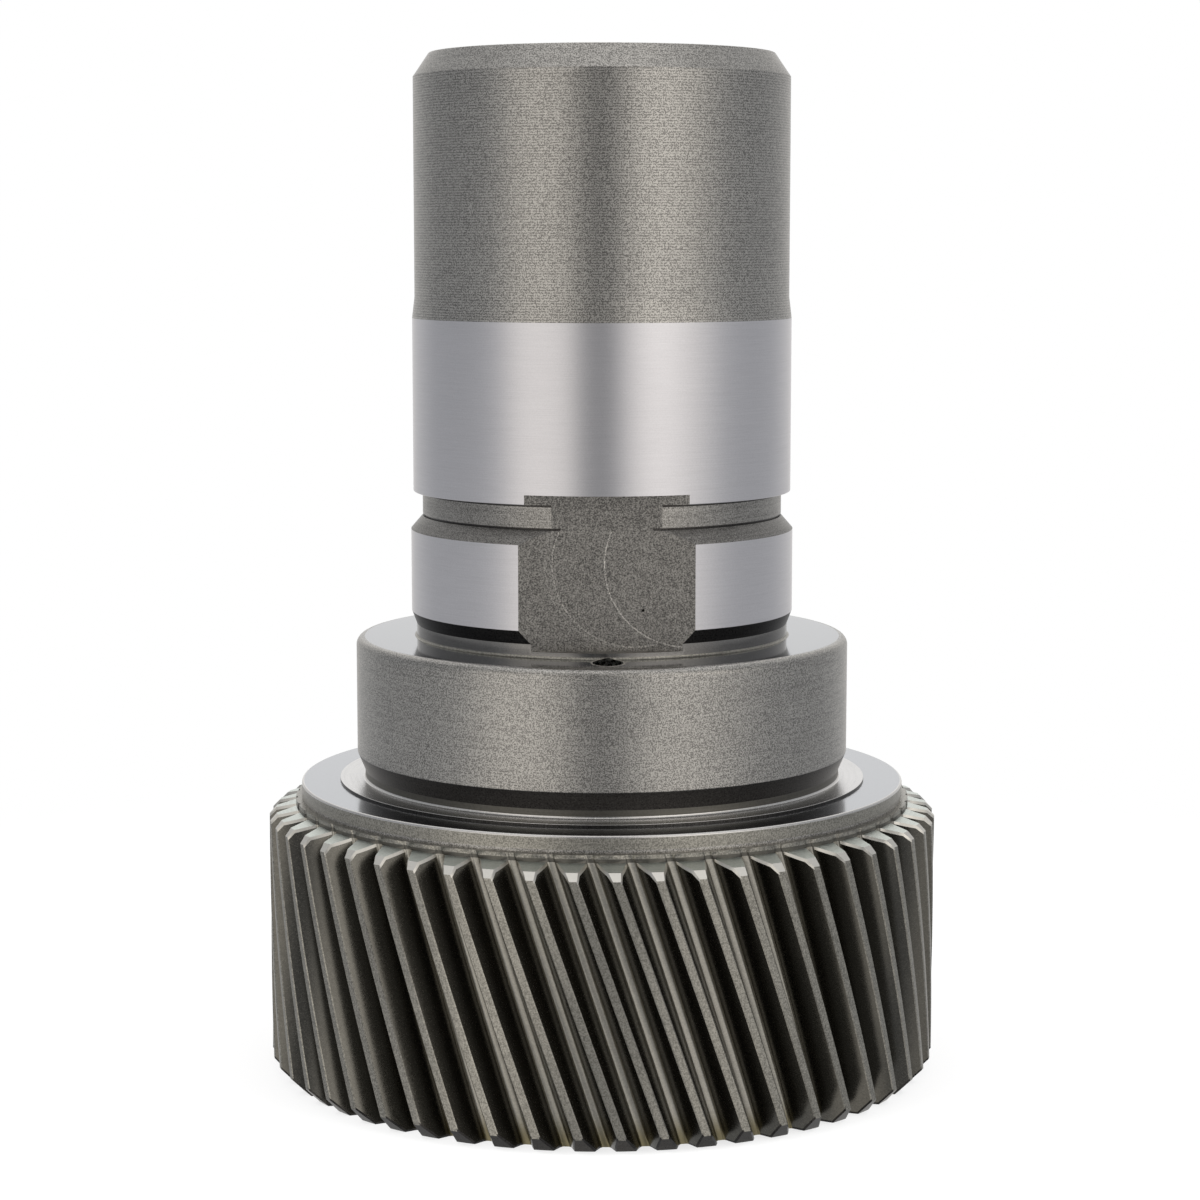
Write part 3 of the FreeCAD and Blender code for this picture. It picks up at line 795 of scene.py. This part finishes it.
def lathe_place(tree):
    """Object coordinates, and a place for marks that run round the axis: (radius, 0, height), with a
    fiftieth of the real place added so that a mark changes a little along its length."""
    place = add_node(tree, "ShaderNodeTexCoord")
    flat = vector_node(tree, "MULTIPLY", (place, "Object"), (1, 1, 0))
    radius = vector_node(tree, "LENGTH", (flat, "Vector"))
    parts = add_node(tree, "ShaderNodeSeparateXYZ", None, {0: (place, "Object")})
    rings = add_node(tree, "ShaderNodeCombineXYZ", None, {"X": (radius, "Value"), "Z": (parts, "Z")})
    marks = vector_node(tree, "MULTIPLY_ADD", (place, "Object"), (0.02, 0.02, 0), (rings, "Vector"))
    return place, marks


def steel(name, light, dark, roughness, grain, grain_share, lines, line_share, relief, spread=0.05,
          feed=None):
    """Steel with a grain and with marks that run round the axis.

    grain and lines are sizes, relief the height of both together, and all three are in millimetres. The
    colour runs from dark to light by grain_share of the grain's noise, line_share of the marks' and a
    share of a broad cloud's, all about the middle. spread is how far the roughness swings with the
    grain. feed is the pitch in millimetres and the share of a lathe tool's regular lines, which add
    share * sin(2 pi z / pitch)."""
    material, tree = new_material(name)
    place, marks = lathe_place(tree)
    speck = noise_node(tree, (place, "Object"), grain * MM, 2.0, 0.6)
    line = noise_node(tree, (marks, "Vector"), lines * MM, 2.0, 0.65)
    cloud = noise_node(tree, (place, "Object"), CLOUD_SIZE, 3.0)
    tone = math_node(tree, "MULTIPLY_ADD", (speck, "Fac"), grain_share,
                     0.5 - 0.5 * (grain_share + line_share + CLOUD_SHARE))
    shares = [(line, "Fac", line_share), (cloud, "Fac", CLOUD_SHARE)]
    if feed:
        pitch, share = feed
        parts = add_node(tree, "ShaderNodeSeparateXYZ", None, {0: (place, "Object")})
        turns = math_node(tree, "MULTIPLY", (parts, "Z"), 2 * math.pi / (pitch * MM))
        wave = math_node(tree, "SINE", (turns, "Value"))
        shares.append((wave, "Value", share))
    for source, output, share in shares:
        tone = math_node(tree, "MULTIPLY_ADD", (source, output), share, (tone, "Value"))
    tone.use_clamp = True
    tint = add_node(tree, "ShaderNodeMix", {"data_type": "RGBA", 6: (*dark, 1), 7: (*light, 1)},
                    {0: (tone, "Value")})
    rough = range_node(tree, (speck, "Fac"), (0.2, 0.8), (roughness - spread, roughness + spread))
    height = math_node(tree, "ADD", (speck, "Fac"), (line, "Fac"))
    bump = add_node(tree, "ShaderNodeBump", {"Strength": 1.0, "Distance": relief * MM},
                    {"Height": (height, "Value")})
    surface = add_node(tree, "ShaderNodeBsdfPrincipled", {"Metallic": 1.0},
                       {"Base Color": (tint, "Result"), "Roughness": (rough, "Result"),
                        "Normal": (bump, "Normal")})
    add_node(tree, "ShaderNodeOutputMaterial", None, {"Surface": (surface, "BSDF")})
    return material, tree, {"tint": tint, "surface": surface, "place": place}


def hardened_steel(colours):
    """Case-hardened alloy steel, turned before it went through the furnace.

    The heat leaves a thin grey skin: half dull, finely speckled, with the tool's rings still showing as
    faint level lines. The real specks are under 0.1 mm, and are drawn at 0.15 mm to show."""
    return steel("hardened_turned_steel", colours.scale_light, colours.scale_dark, roughness=0.33,
                 grain=0.15, grain_share=7.5, lines=0.16, line_share=1.4, relief=0.0024)[0]


def nose_steel(colours):
    """The nose, hardened like the rest, with the lathe tool's regular lines left on it.

    The real lines are 0.25 mm apart, and are drawn 0.33 mm apart to show."""
    return steel("feed_turned_steel", colours.scale_light, colours.scale_dark, roughness=0.33,
                 grain=0.15, grain_share=8.0, lines=0.16, line_share=0.8, relief=0.0024,
                 feed=(0.33, 0.4))[0]


def ground_steel(colours):
    """The same steel after cylindrical grinding: clean, slightly blue, with a satin sheen.

    The wheel's marks are finer than a pixel, so they are drawn 0.12 mm apart and very faint."""
    return steel("cylindrically_ground_steel", colours.ground, dimmed(colours.ground, 0.86),
                 roughness=0.3, grain=0.16, grain_share=1.5, lines=0.12, line_share=1.2, relief=0.0009,
                 spread=0.02)[0]


def grooved_steel(colours):
    """The ring groove's floor, plunge turned and never ground: rougher grain, no clear lines."""
    return steel("plunge_turned_steel", colours.scale_light, colours.milled_dark, roughness=0.36,
                 grain=0.16, grain_share=2.1, lines=0.2, line_share=0.6, relief=0.003)[0]


def bevel_steel(colours):
    """The bevel under the ring groove, turned in the same plunge: darker than the groove's floor."""
    light = dimmed(colours.scale_light, 0.72)
    dim = dimmed(colours.milled_dark, 0.8)
    return steel("turned_bevel_steel", light, dim, roughness=0.38, grain=0.16, grain_share=2.4,
                 lines=0.2, line_share=0.6, relief=0.003)[0]


def relief_steel():
    """The undercut's wall above the collar, finish turned: smooth and dark, so it mirrors the room."""
    return steel("finish_turned_steel", linear("#8f8d8b"), linear("#73716f"), roughness=0.16,
                 grain=0.16, grain_share=2.0, lines=0.2, line_share=0.8, relief=0.001, spread=0.03)[0]


def painted_shade_steel():
    """Cones of the undercuts, the pad's step, the groove's recess and upper end, and the chamfers and breaks
    at the foot of the teeth: nearly black, half dull. The near black is painted shade in these hollows and on
    faces turned away from the light."""
    return steel("near_black_steel_as_painted_shade", linear("#504e4c"), linear("#2b2928"), roughness=0.3,
                 grain=0.2, grain_share=2.0, lines=0.3, line_share=0.6, relief=0.003)[0]


def milled_steel(colours, cut):
    """The oil flat, end milled: dull grey-brown with upright streaks of 0.15 mm, and the arcs that the
    cutter's rim, 20.6 mm across, leaves where it dwelt, with one small dark pit.

    The streaks run from 1.32 to 1.68 times the steel's colour, and the arcs add to that. An arc is
    where the distance from the cutter's middle is its radius, over 4.4 mm to its lower left."""
    material, tree, made = steel("end_milled_steel", colours.milled_light, colours.milled_dark,
                                 roughness=0.42, grain=0.18, grain_share=3.4, lines=2.0, line_share=0.2,
                                 relief=0.004)
    streak_place = add_node(tree, "ShaderNodeMapping", {"Scale": (1, 1, 0.22)},
                            {"Vector": (made["place"], "Object")})
    streak = noise_node(tree, (streak_place, "Vector"), 0.2 * MM)
    marks = (range_node(tree, (streak, "Fac"), (0.3, 0.7), (1.32, 1.68)), "Result")
    cutter_radius, cutter_height, line_width = 10.3 * MM, 68.7 * MM, 0.08 * MM
    for cutter_x, strength in ((10.0 * MM, 1.3), (3.5 * MM, 0.8), (2.6 * MM, 0.4)):
        middle = (cutter_x, -cut.flat_distance, cutter_height)
        offset = vector_node(tree, "SUBTRACT", (made["place"], "Object"), middle)
        reach = vector_node(tree, "LENGTH", (offset, "Vector"))
        ring = math_node(tree, "COMPARE", (reach, "Value"), cutter_radius, line_width)
        aslant = vector_node(tree, "DOT_PRODUCT", (offset, "Vector"), (0.75, 0, 0.66))
        lower_left = math_node(tree, "LESS_THAN", (aslant, "Value"), -4.4 * MM)
        arc = math_node(tree, "MULTIPLY", (ring, "Value"), (lower_left, "Value"))
        marks = (math_node(tree, "MULTIPLY_ADD", (arc, "Value"), strength, marks), "Value")
    pit_place = (4.5 * MM, -cut.flat_distance, 63.0 * MM)
    pit = vector_node(tree, "DISTANCE", (made["place"], "Object"), pit_place)
    spared = range_node(tree, (pit, "Value"), (0.14 * MM, 0.24 * MM), (0.1, 1.0))
    total = math_node(tree, "MULTIPLY", marks, (spared, "Result"))
    toned = add_node(tree, "ShaderNodeVectorMath", {"operation": "SCALE"},
                     {0: (made["tint"], "Result"), "Scale": (total, "Value")})
    tree.links.new(toned.outputs["Vector"], made["surface"].inputs["Base Color"])
    return material


def hobbed_steel(colours):
    """Hobbed and hardened flanks: half dull, a little brown, with the hob's feed marks across them. They are
    drawn darker than the lands of the same steel, as painted shade in the gaps.
    """
    light = dimmed(colours.tooth, 0.6)
    dim = dimmed(colours.tooth, 0.35)
    return steel("hobbed_hardened_steel", light, dim, roughness=0.25, grain=0.2, grain_share=2.0,
                 lines=0.6, line_share=0.5, relief=0.002)[0]


def root_steel(colours):
    """The gaps' floors, hobbed: the flanks' steel drawn lighter than the lands, as painted light in the
    floors of the gaps, with a brown film of old oil that is thickest at the lower end and gone 4.5 mm above
    it."""
    light = dimmed(colours.tooth, 1.5)
    material, tree, made = steel("oiled_root_steel", light, colours.tooth, roughness=0.36, grain=0.2,
                                 grain_share=2.2, lines=0.6, line_share=0.5, relief=0.003)
    parts = add_node(tree, "ShaderNodeSeparateXYZ", None, {0: (made["place"], "Object")})
    film = range_node(tree, (parts, "Z"), (0.5 * MM, 4.5 * MM), (0.75, 0.0), "SMOOTHSTEP")
    tint = add_node(tree, "ShaderNodeMix", {"data_type": "RGBA", 7: (*linear("#6b6138"), 1)},
                    {0: (film, "Result"), 6: (made["tint"], "Result")})
    tree.links.new(tint.outputs["Result"], made["surface"].inputs["Base Color"])
    return material


def land_steel(colours):
    """The lands over the teeth, turned and hardened: warm grey with a fine grain."""
    light = dimmed(colours.tooth, 1.3)
    dim = dimmed(colours.tooth, 0.6)
    return steel("turned_land_steel", light, dim, roughness=0.36, grain=0.18, grain_share=4.0,
                 lines=0.3, line_share=0.8, relief=0.003)[0]


def tooth_end_steel():
    """The sloped tooth ends, faced and hardened: a slightly green grey with faint rings, drawn far lighter
    than the lands of the same steel as painted light on these upward faces.
    """
    return steel("faced_tooth_end_steel", linear("#e0e4df"), linear("#bac0b9"), roughness=0.38,
                 grain=0.25, grain_share=1.0, lines=0.2, line_share=0.8, relief=0.002)[0]


def brushed_steel(colours):
    """Brushed and deburred edges after hardening: bare metal, the brightest places on the part."""
    dim = dimmed(colours.bright, 0.85)
    return steel("brushed_edge_steel", colours.bright, dim, roughness=0.34, grain=0.3, grain_share=1.0,
                 lines=0.2, line_share=0.5, relief=0.003)[0]


def dark_turned_steel(colours):
    """The neck and the foot of the wall over the teeth, turned and never brushed: dark grey. At the wall's
    foot, which lies in shadow just over the teeth, the dark grey is painted shade."""
    light = dimmed(colours.tooth, 0.5)
    dim = dimmed(colours.tooth, 0.3)
    return steel("dark_steel_and_painted_shade", light, dim, roughness=0.38, grain=0.3, grain_share=1.2,
                 lines=0.25, line_share=0.8, relief=0.003)[0]


def lapped_steel(colours):
    """The thrust face, lapped: a soft mirror with very faint rings."""
    pale = dimmed(colours.polished, 1.06)
    return steel("lapped_steel", pale, colours.polished, roughness=0.15, grain=0.5, grain_share=0.6,
                 lines=0.25, line_share=1.0, relief=0.0004, spread=0.02)[0]


def polished_steel(colours, cut, height):
    """The collar's face, polished for the bearing: a near mirror with very faint rings. Its colour is 0.65 to
    0.7 of the lapped face's, as painted shade in its reflection.

    Round the oil hole the drill threw up a ragged burr that catches the light. Noise takes 0 to 1.1 mm
    off the distance from the mouth's middle, so that the burr's edge swings in and out."""
    # 0.7 and 0.65 of the lapped colour: painted shade in the face's reflection.
    pale = dimmed(colours.polished, 0.7)
    dim = dimmed(colours.polished, 0.65)
    material, tree, made = steel("polished_steel", pale, dim, roughness=0.09, grain=0.5,
                                 grain_share=0.6, lines=0.25, line_share=1.0, relief=0.0004,
                                 spread=0.015)
    offset = vector_node(tree, "SUBTRACT", (made["place"], "Object"), (0, -cut.hole_distance, height))
    squeezed = vector_node(tree, "MULTIPLY", (offset, "Vector"), (1, math.sin(cut.hole_slant), 1))
    reach = vector_node(tree, "LENGTH", (squeezed, "Vector"))
    ragged = noise_node(tree, (made["place"], "Object"), 0.45 * MM, 3.0)
    swing, full, gone = 1.1 * MM, cut.hole_radius - 0.35 * MM, cut.hole_radius - 0.2 * MM
    edge = math_node(tree, "MULTIPLY_ADD", (ragged, "Fac"), -swing, (reach, "Value"))
    burr = range_node(tree, (edge, "Value"), (full, gone), (1.0, 0.0))
    tint = add_node(tree, "ShaderNodeMix", {"data_type": "RGBA", 7: (*colours.bright, 1)},
                    {0: (burr, "Result"), 6: (made["tint"], "Result")})
    rough = range_node(tree, (burr, "Result"), (0.0, 1.0), (0.09, 0.5))
    tree.links.new(tint.outputs["Result"], made["surface"].inputs["Base Color"])
    tree.links.new(rough.outputs["Result"], made["surface"].inputs["Roughness"])
    return material


def pad_steel():
    """The raised pad inside the thrust face and the rim's edge, fine turned and oil stained: bright,
    with a faint warm tone."""
    return steel("oil_stained_steel", linear("#dddbd9"), linear("#bfbdbb"), roughness=0.24, grain=0.3,
                 grain_share=1.0, lines=0.25, line_share=1.0, relief=0.001)[0]


def bored_steel(colours):
    """Bores, splines and clutch teeth, bored and broached: grey with rings round the hole."""
    dim = dimmed(colours.tooth, 0.75)
    return steel("bored_broached_steel", colours.tooth, dim, roughness=0.34, grain=0.3, grain_share=1.0,
                 lines=0.4, line_share=1.0, relief=0.003)[0]


def drilled_steel():
    """The oil hole's wall, twist drilled: torn and scored, with bright scars on near black. The near black is
    painted shade inside the hole.
    """
    return steel("twist_drilled_steel", linear("#f0efec"), linear("#1c1b1a"), roughness=0.35, grain=0.5,
                 grain_share=6.0, lines=0.3, line_share=1.5, relief=0.03)[0]


def shaft_materials(colours, cut, height):
    """The finishes' materials, in the order of the slots. height is that of the collar's face."""
    made = {
        "hardened": hardened_steel(colours),
        "nose": nose_steel(colours),
        "ground": ground_steel(colours),
        "grooved": grooved_steel(colours),
        "bevel": bevel_steel(colours),
        "relief": relief_steel(),
        "undercut": painted_shade_steel(),
        "dark_grey_turned": dark_turned_steel(colours),
        "milled": milled_steel(colours, cut),
        "hobbed": hobbed_steel(colours),
        "root": root_steel(colours),
        "land": land_steel(colours),
        "tooth_end": tooth_end_steel(),
        "brushed": brushed_steel(colours),
        "lapped": lapped_steel(colours),
        "polished": polished_steel(colours, cut, height),
        "pad": pad_steel(),
        "bored": bored_steel(colours),
        "drilled": drilled_steel(),
    }
    return [made[finish] for finish in FINISHES]


class SHAFT_OT_make_shaft(Operator):
    """Build the shaft in one closed piece, from its turned, bored, toothed and cut surfaces"""
    bl_idname = "shaft.make_shaft"
    bl_label = "Make the shaft"

    def execute(self, context):
        scene = context.scene
        turned, cut, gear, bore = scene.shaft_turned, scene.shaft_cut, scene.shaft_gear, scene.shaft_bore
        shaft = bpy.data.objects.new("shaft", shaft_mesh("shaft", *weld(shaft_skins(turned, gear, bore))))
        scene.collection.objects.link(shaft)
        for material in shaft_materials(scene.shaft_colours, cut, turned.collar_height):
            shaft.data.materials.append(material)
        low = (-MILL_REACH, -cut.flat_distance - MILL_REACH, cut.flat_bottom)
        high = (MILL_REACH, -cut.flat_distance, cut.flat_top)
        cut_away(shaft, box_cutter(low, high, FORMS["flat"], "milled"))
        cut_away(shaft, drill_cutter(cut, turned.collar_height, FORMS["hole"]))
        sharpen(shaft.data)
        modifier = shaft.modifiers.new("weighted normals", "WEIGHTED_NORMAL")
        modifier.mode = "FACE_AREA"
        modifier.keep_sharp = True
        bake(shaft)
        shaft.data.attributes.remove(shaft.data.attributes["form"])
        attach(shaft, "root")
        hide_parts(NODE)
        return {"FINISHED"}


def mirrored_rays(tree):
    """The light path, and 1 for each ray that a mirror or a clear thing sends on."""
    path = add_node(tree, "ShaderNodeLightPath")
    mirrored = math_node(tree, "ADD", (path, "Is Glossy Ray"), (path, "Is Transmission Ray"))
    return path, mirrored


def ramp_node(tree, stops, source, tint=0.0):
    """A ramp of light levels, from (place, level) pairs, driven by another node's output.

    With a tint its bright parts are a little warm, as the boxes' lamps are, and its dim parts blue: up
    to 3% more red and 4.5% less blue, or the other way round, from 0.23 over or under a level of 0.57."""
    ramp = add_node(tree, "ShaderNodeValToRGB", None, {"Fac": source})
    elements = ramp.color_ramp.elements
    for place, level in stops[1:-1]:
        elements.new(place)
    for element, (place, level) in zip(elements, stops):
        warmth = tint * min(1, max(-1, (level - 0.57) / 0.23))
        element.position = place
        element.color = (level * (1 + 0.03 * warmth), level, level * (1 - 0.045 * warmth), 1)
    return ramp


def studio_angles(tree, turn):
    """Links to a direction's azimuth from the front of the stage and its elevation, as 0...1."""
    place = add_node(tree, "ShaderNodeTexCoord")
    turned = add_node(tree, "ShaderNodeMapping", {"Rotation": (0, 0, turn)}, {"Vector": (place, "Generated")})
    parts = add_node(tree, "ShaderNodeSeparateXYZ", None, {0: (turned, "Vector")})
    forward = math_node(tree, "MULTIPLY", (parts, "Y"), -1.0)
    azimuth = math_node(tree, "ARCTAN2", (parts, "X"), (forward, "Value"))
    around = range_node(tree, (azimuth, "Value"), (-math.pi, math.pi), (0.0, 1.0))
    lifted = math_node(tree, "ARCSINE", (parts, "Z"))
    upright = range_node(tree, (lifted, "Value"), (-math.pi / 2, math.pi / 2), (0.0, 1.0))
    return (around, "Result"), (upright, "Result")


def studio_world(turn):
    """A round studio: a soft box to each side of the camera, a white backdrop behind the object, a
    soft light overhead and dim gaps between them. Camera rays see the backdrop's plain white all round,
    and glossy and transmission rays see it where the backdrop stands.

    The light is side(azimuth) times wall(elevation) plus ceiling(elevation). The ramps are written in
    degrees from the front of the stage and from level, and both angles are taken to 0...1 for them.
    Below level the side is another ramp, and behind the object the wall is bright further up."""
    world = bpy.data.worlds.new("studio")
    world.use_nodes = True
    tree = world.node_tree
    tree.nodes.clear()
    around, upright = studio_angles(tree, turn)

    def by_azimuth(pairs, tint=0.0):
        """A ramp over the azimuth, from (degrees, level) pairs."""
        stops = [(0.5 + degrees / 360, level) for degrees, level in pairs]
        return ramp_node(tree, stops, around, tint)

    def by_elevation(pairs):
        """A ramp over the elevation, from (degrees, level) pairs."""
        stops = [(0.5 + degrees / 180, level) for degrees, level in pairs]
        return ramp_node(tree, stops, upright)

    side = by_azimuth([
        (-180, 1.0), (-168, 0.95), (-157, 0.62), (-136, 0.5), (-120, 0.36), (-90, 0.33), (-74, 0.36),
        (-62, 0.5), (-54, 0.78), (-46, 0.92), (-20, 0.9), (-11, 0.19), (6, 0.13), (12, 0.6), (18, 0.85),
        (26, 1.16), (38, 1.2), (56, 0.88), (70, 0.6), (80, 0.42), (100, 0.37), (125, 0.42), (140, 0.55),
        (158, 0.66), (168, 0.95), (180, 1.0)], 1.0)
    low_side = by_azimuth([
        (-180, 1.0), (-168, 0.9), (-157, 0.6), (-136, 0.46), (-120, 0.42), (-90, 0.46), (-74, 0.46),
        (-62, 0.56), (-54, 0.78), (-46, 0.88), (-20, 0.86), (-11, 0.3), (6, 0.24), (12, 0.5), (18, 0.66),
        (26, 0.74), (38, 0.74), (56, 0.56), (70, 0.47), (80, 0.4), (100, 0.4), (125, 0.42), (140, 0.52),
        (158, 0.62), (168, 0.9), (180, 1.0)], 1.0)
    lowered = range_node(tree, upright, (0.5 - 10 / 180, 0.5 - 3 / 180), (1.0, 0.0))
    around_wall = add_node(tree, "ShaderNodeMix", {"data_type": "RGBA"},
                           {0: (lowered, "Result"), 6: (side, "Color"), 7: (low_side, "Color")})
    front = by_elevation([(-90, 0.4), (-40, 0.8), (-20, 1.0), (22, 1.0), (44, 0.4), (90, 0.0)])
    back = by_elevation([(-90, 0.4), (-40, 0.8), (-20, 1.0), (34, 1.0), (62, 0.7), (90, 0.0)])
    behind = by_azimuth([(-180, 1.0), (-130, 1.0), (-90, 0.0), (90, 0.0), (130, 1.0), (180, 1.0)])
    wall = add_node(tree, "ShaderNodeMix", {"data_type": "RGBA"},
                    {0: (behind, "Color"), 6: (front, "Color"), 7: (back, "Color")})
    ceiling = by_elevation([(-90, 0.0), (30, 0.0), (46, 0.3), (58, 0.55), (66, 0.74), (90, 0.8)])
    walls = vector_node(tree, "MULTIPLY", (around_wall, "Result"), (wall, "Result"))
    level = vector_node(tree, "ADD", (walls, "Vector"), (ceiling, "Color"))
    shown = add_node(tree, "ShaderNodeBackground", {"Strength": 1.0, "Color": (1, 1, 1, 1)})
    light = add_node(tree, "ShaderNodeBackground", {"Strength": STUDIO_STRENGTH},
                     {"Color": (level, "Vector")})
    width = by_azimuth([(-180, 1.0), (-168, 1.0), (-162, 0.0), (162, 0.0), (168, 1.0), (180, 1.0)])
    height = by_elevation([(-90, 0.0), (-10, 0.0), (-3, 1.0), (36, 1.0), (50, 0.0), (90, 0.0)])
    backdrop = math_node(tree, "MULTIPLY", (width, "Color"), (height, "Color"))
    path, mirrored = mirrored_rays(tree)
    share = math_node(tree, "MULTIPLY_ADD", (mirrored, "Value"), (backdrop, "Value"),
                      (path, "Is Camera Ray"), clamp=True)
    mix = add_node(tree, "ShaderNodeMixShader", None,
                   {0: (share, "Value"), 1: (light, "Background"), 2: (shown, "Background")})
    add_node(tree, "ShaderNodeOutputWorld", None, {"Surface": (mix, "Shader")})
    return world


def paper_floor(tone):
    """Matt white paper. From 60 to 200 mm from the axis it fades to the plain white of the background
    for camera, glossy and transmission rays, so that no edge shows. Nearer it keeps a part of the
    object's shadow."""
    material, tree = new_material("matt_paper")
    place = add_node(tree, "ShaderNodeTexCoord")
    reach = vector_node(tree, "LENGTH", (place, "Object"))
    fade = range_node(tree, (reach, "Value"), (60 * MM, 200 * MM), (0.72, 1.0), "SMOOTHSTEP")
    path, mirrored = mirrored_rays(tree)
    seen = math_node(tree, "ADD", (path, "Is Camera Ray"), (mirrored, "Value"), clamp=True)
    share = math_node(tree, "MULTIPLY", (seen, "Value"), (fade, "Result"))
    paper = add_node(tree, "ShaderNodeBsdfPrincipled", {"Base Color": (*tone, 1), "Roughness": 0.9,
                                                        "Specular IOR Level": 0.1})
    white = add_node(tree, "ShaderNodeEmission", {"Color": (1, 1, 1, 1), "Strength": 1.0})
    mix = add_node(tree, "ShaderNodeMixShader", None,
                   {0: (share, "Value"), 1: (paper, "BSDF"), 2: (white, "Emission")})
    add_node(tree, "ShaderNodeOutputMaterial", None, {"Surface": (mix, "Shader")})
    return material


class SHAFT_OT_set_stage(Operator):
    """Lay the floor, light the studio and stand the camera where the photograph was taken"""
    bl_idname = "shaft.set_stage"
    bl_label = "Set the stage"

    def execute(self, context):
        scene = context.scene
        stage = scene.shaft_stage
        around = np.arange(FLOOR_SIDES) * (2 * np.pi / FLOOR_SIDES)
        # 0.005 mm inside the end face: level with it, the two would show through each other from below
        edge = ring_points(stage.floor_radius, around, 0.005 * MM)
        mesh = bpy.data.meshes.new("floor")
        mesh.from_pydata(edge, [], [list(range(FLOOR_SIDES))])
        mesh.materials.append(paper_floor(stage.floor))
        floor = bpy.data.objects.new("floor", mesh)
        floor.visible_glossy = False
        scene.collection.objects.link(floor)
        scene.world = studio_world(stage.camera_azimuth)
        for name, place in LAMPS.items():
            lamp = bpy.data.lights.new(name, "AREA")
            lamp.shape = "SQUARE"
            lamp.size = LAMP_SIZE
            lamp.energy = LAMP_POWER
            holder = bpy.data.objects.new(name, lamp)
            holder.location = place
            aim = np.subtract(LAMP_TARGET, place)
            holder.rotation_euler = (math.atan2(math.hypot(aim[0], aim[1]), -aim[2]), 0,
                                     math.atan2(-aim[0], aim[1]))
            holder.visible_glossy = False
            scene.collection.objects.link(holder)
        lens = bpy.data.cameras.new("camera")
        lens.lens = stage.lens
        lens.sensor_width = SENSOR_WIDTH
        lens.shift_x = LENS_SHIFT
        camera = bpy.data.objects.new("camera", lens)
        camera.location = (-stage.camera_distance * math.sin(stage.camera_azimuth),
                           -stage.camera_distance * math.cos(stage.camera_azimuth), stage.camera_height)
        camera.rotation_euler = (math.pi / 2 - stage.camera_pitch, 0, -stage.camera_azimuth)
        scene.collection.objects.link(camera)
        bpy.context.scene.camera = camera
        scene.view_settings.view_transform = "Standard"
        return {"FINISHED"}


class SHAFT_PT_build(Panel):
    """Lists the shaft's steps and its sizes"""
    bl_idname = "SHAFT_PT_build"
    bl_label = "Input shaft"
    bl_space_type = "VIEW_3D"
    bl_region_type = "UI"
    bl_category = "Shaft"

    def draw(self, context):
        layout = self.layout
        for step in STEPS:
            layout.operator(step.bl_idname)
        for name, group in GROUPS.items():
            column = layout.column(align=True)
            column.label(text=group.__doc__)
            for field in group.__annotations__:
                column.prop(getattr(context.scene, name), field)


GROUPS = {"shaft_turned": TurnedSizes, "shaft_cut": CutSizes, "shaft_gear": GearSizes,
          "shaft_bore": BoreSizes, "shaft_colours": SteelColours, "shaft_stage": StageSettings}
STEPS = (SHAFT_OT_make_shaft, SHAFT_OT_set_stage)
CLASSES = (*GROUPS.values(), *STEPS, SHAFT_PT_build)


def register():
    """Registers the classes and hangs each group of settings on the scene."""
    for item in CLASSES:
        bpy.utils.register_class(item)
    for name, group in GROUPS.items():
        setattr(bpy.types.Scene, name, PointerProperty(type=group))


def unregister():
    """Undoes register."""
    for name in GROUPS:
        delattr(bpy.types.Scene, name)
    for item in reversed(CLASSES):
        bpy.utils.unregister_class(item)


def main():
    """Builds the piece and its stage."""
    register()
    bpy.ops.shaft.make_shaft()
    bpy.ops.shaft.set_stage()


if __name__ == "__main__":
    main()
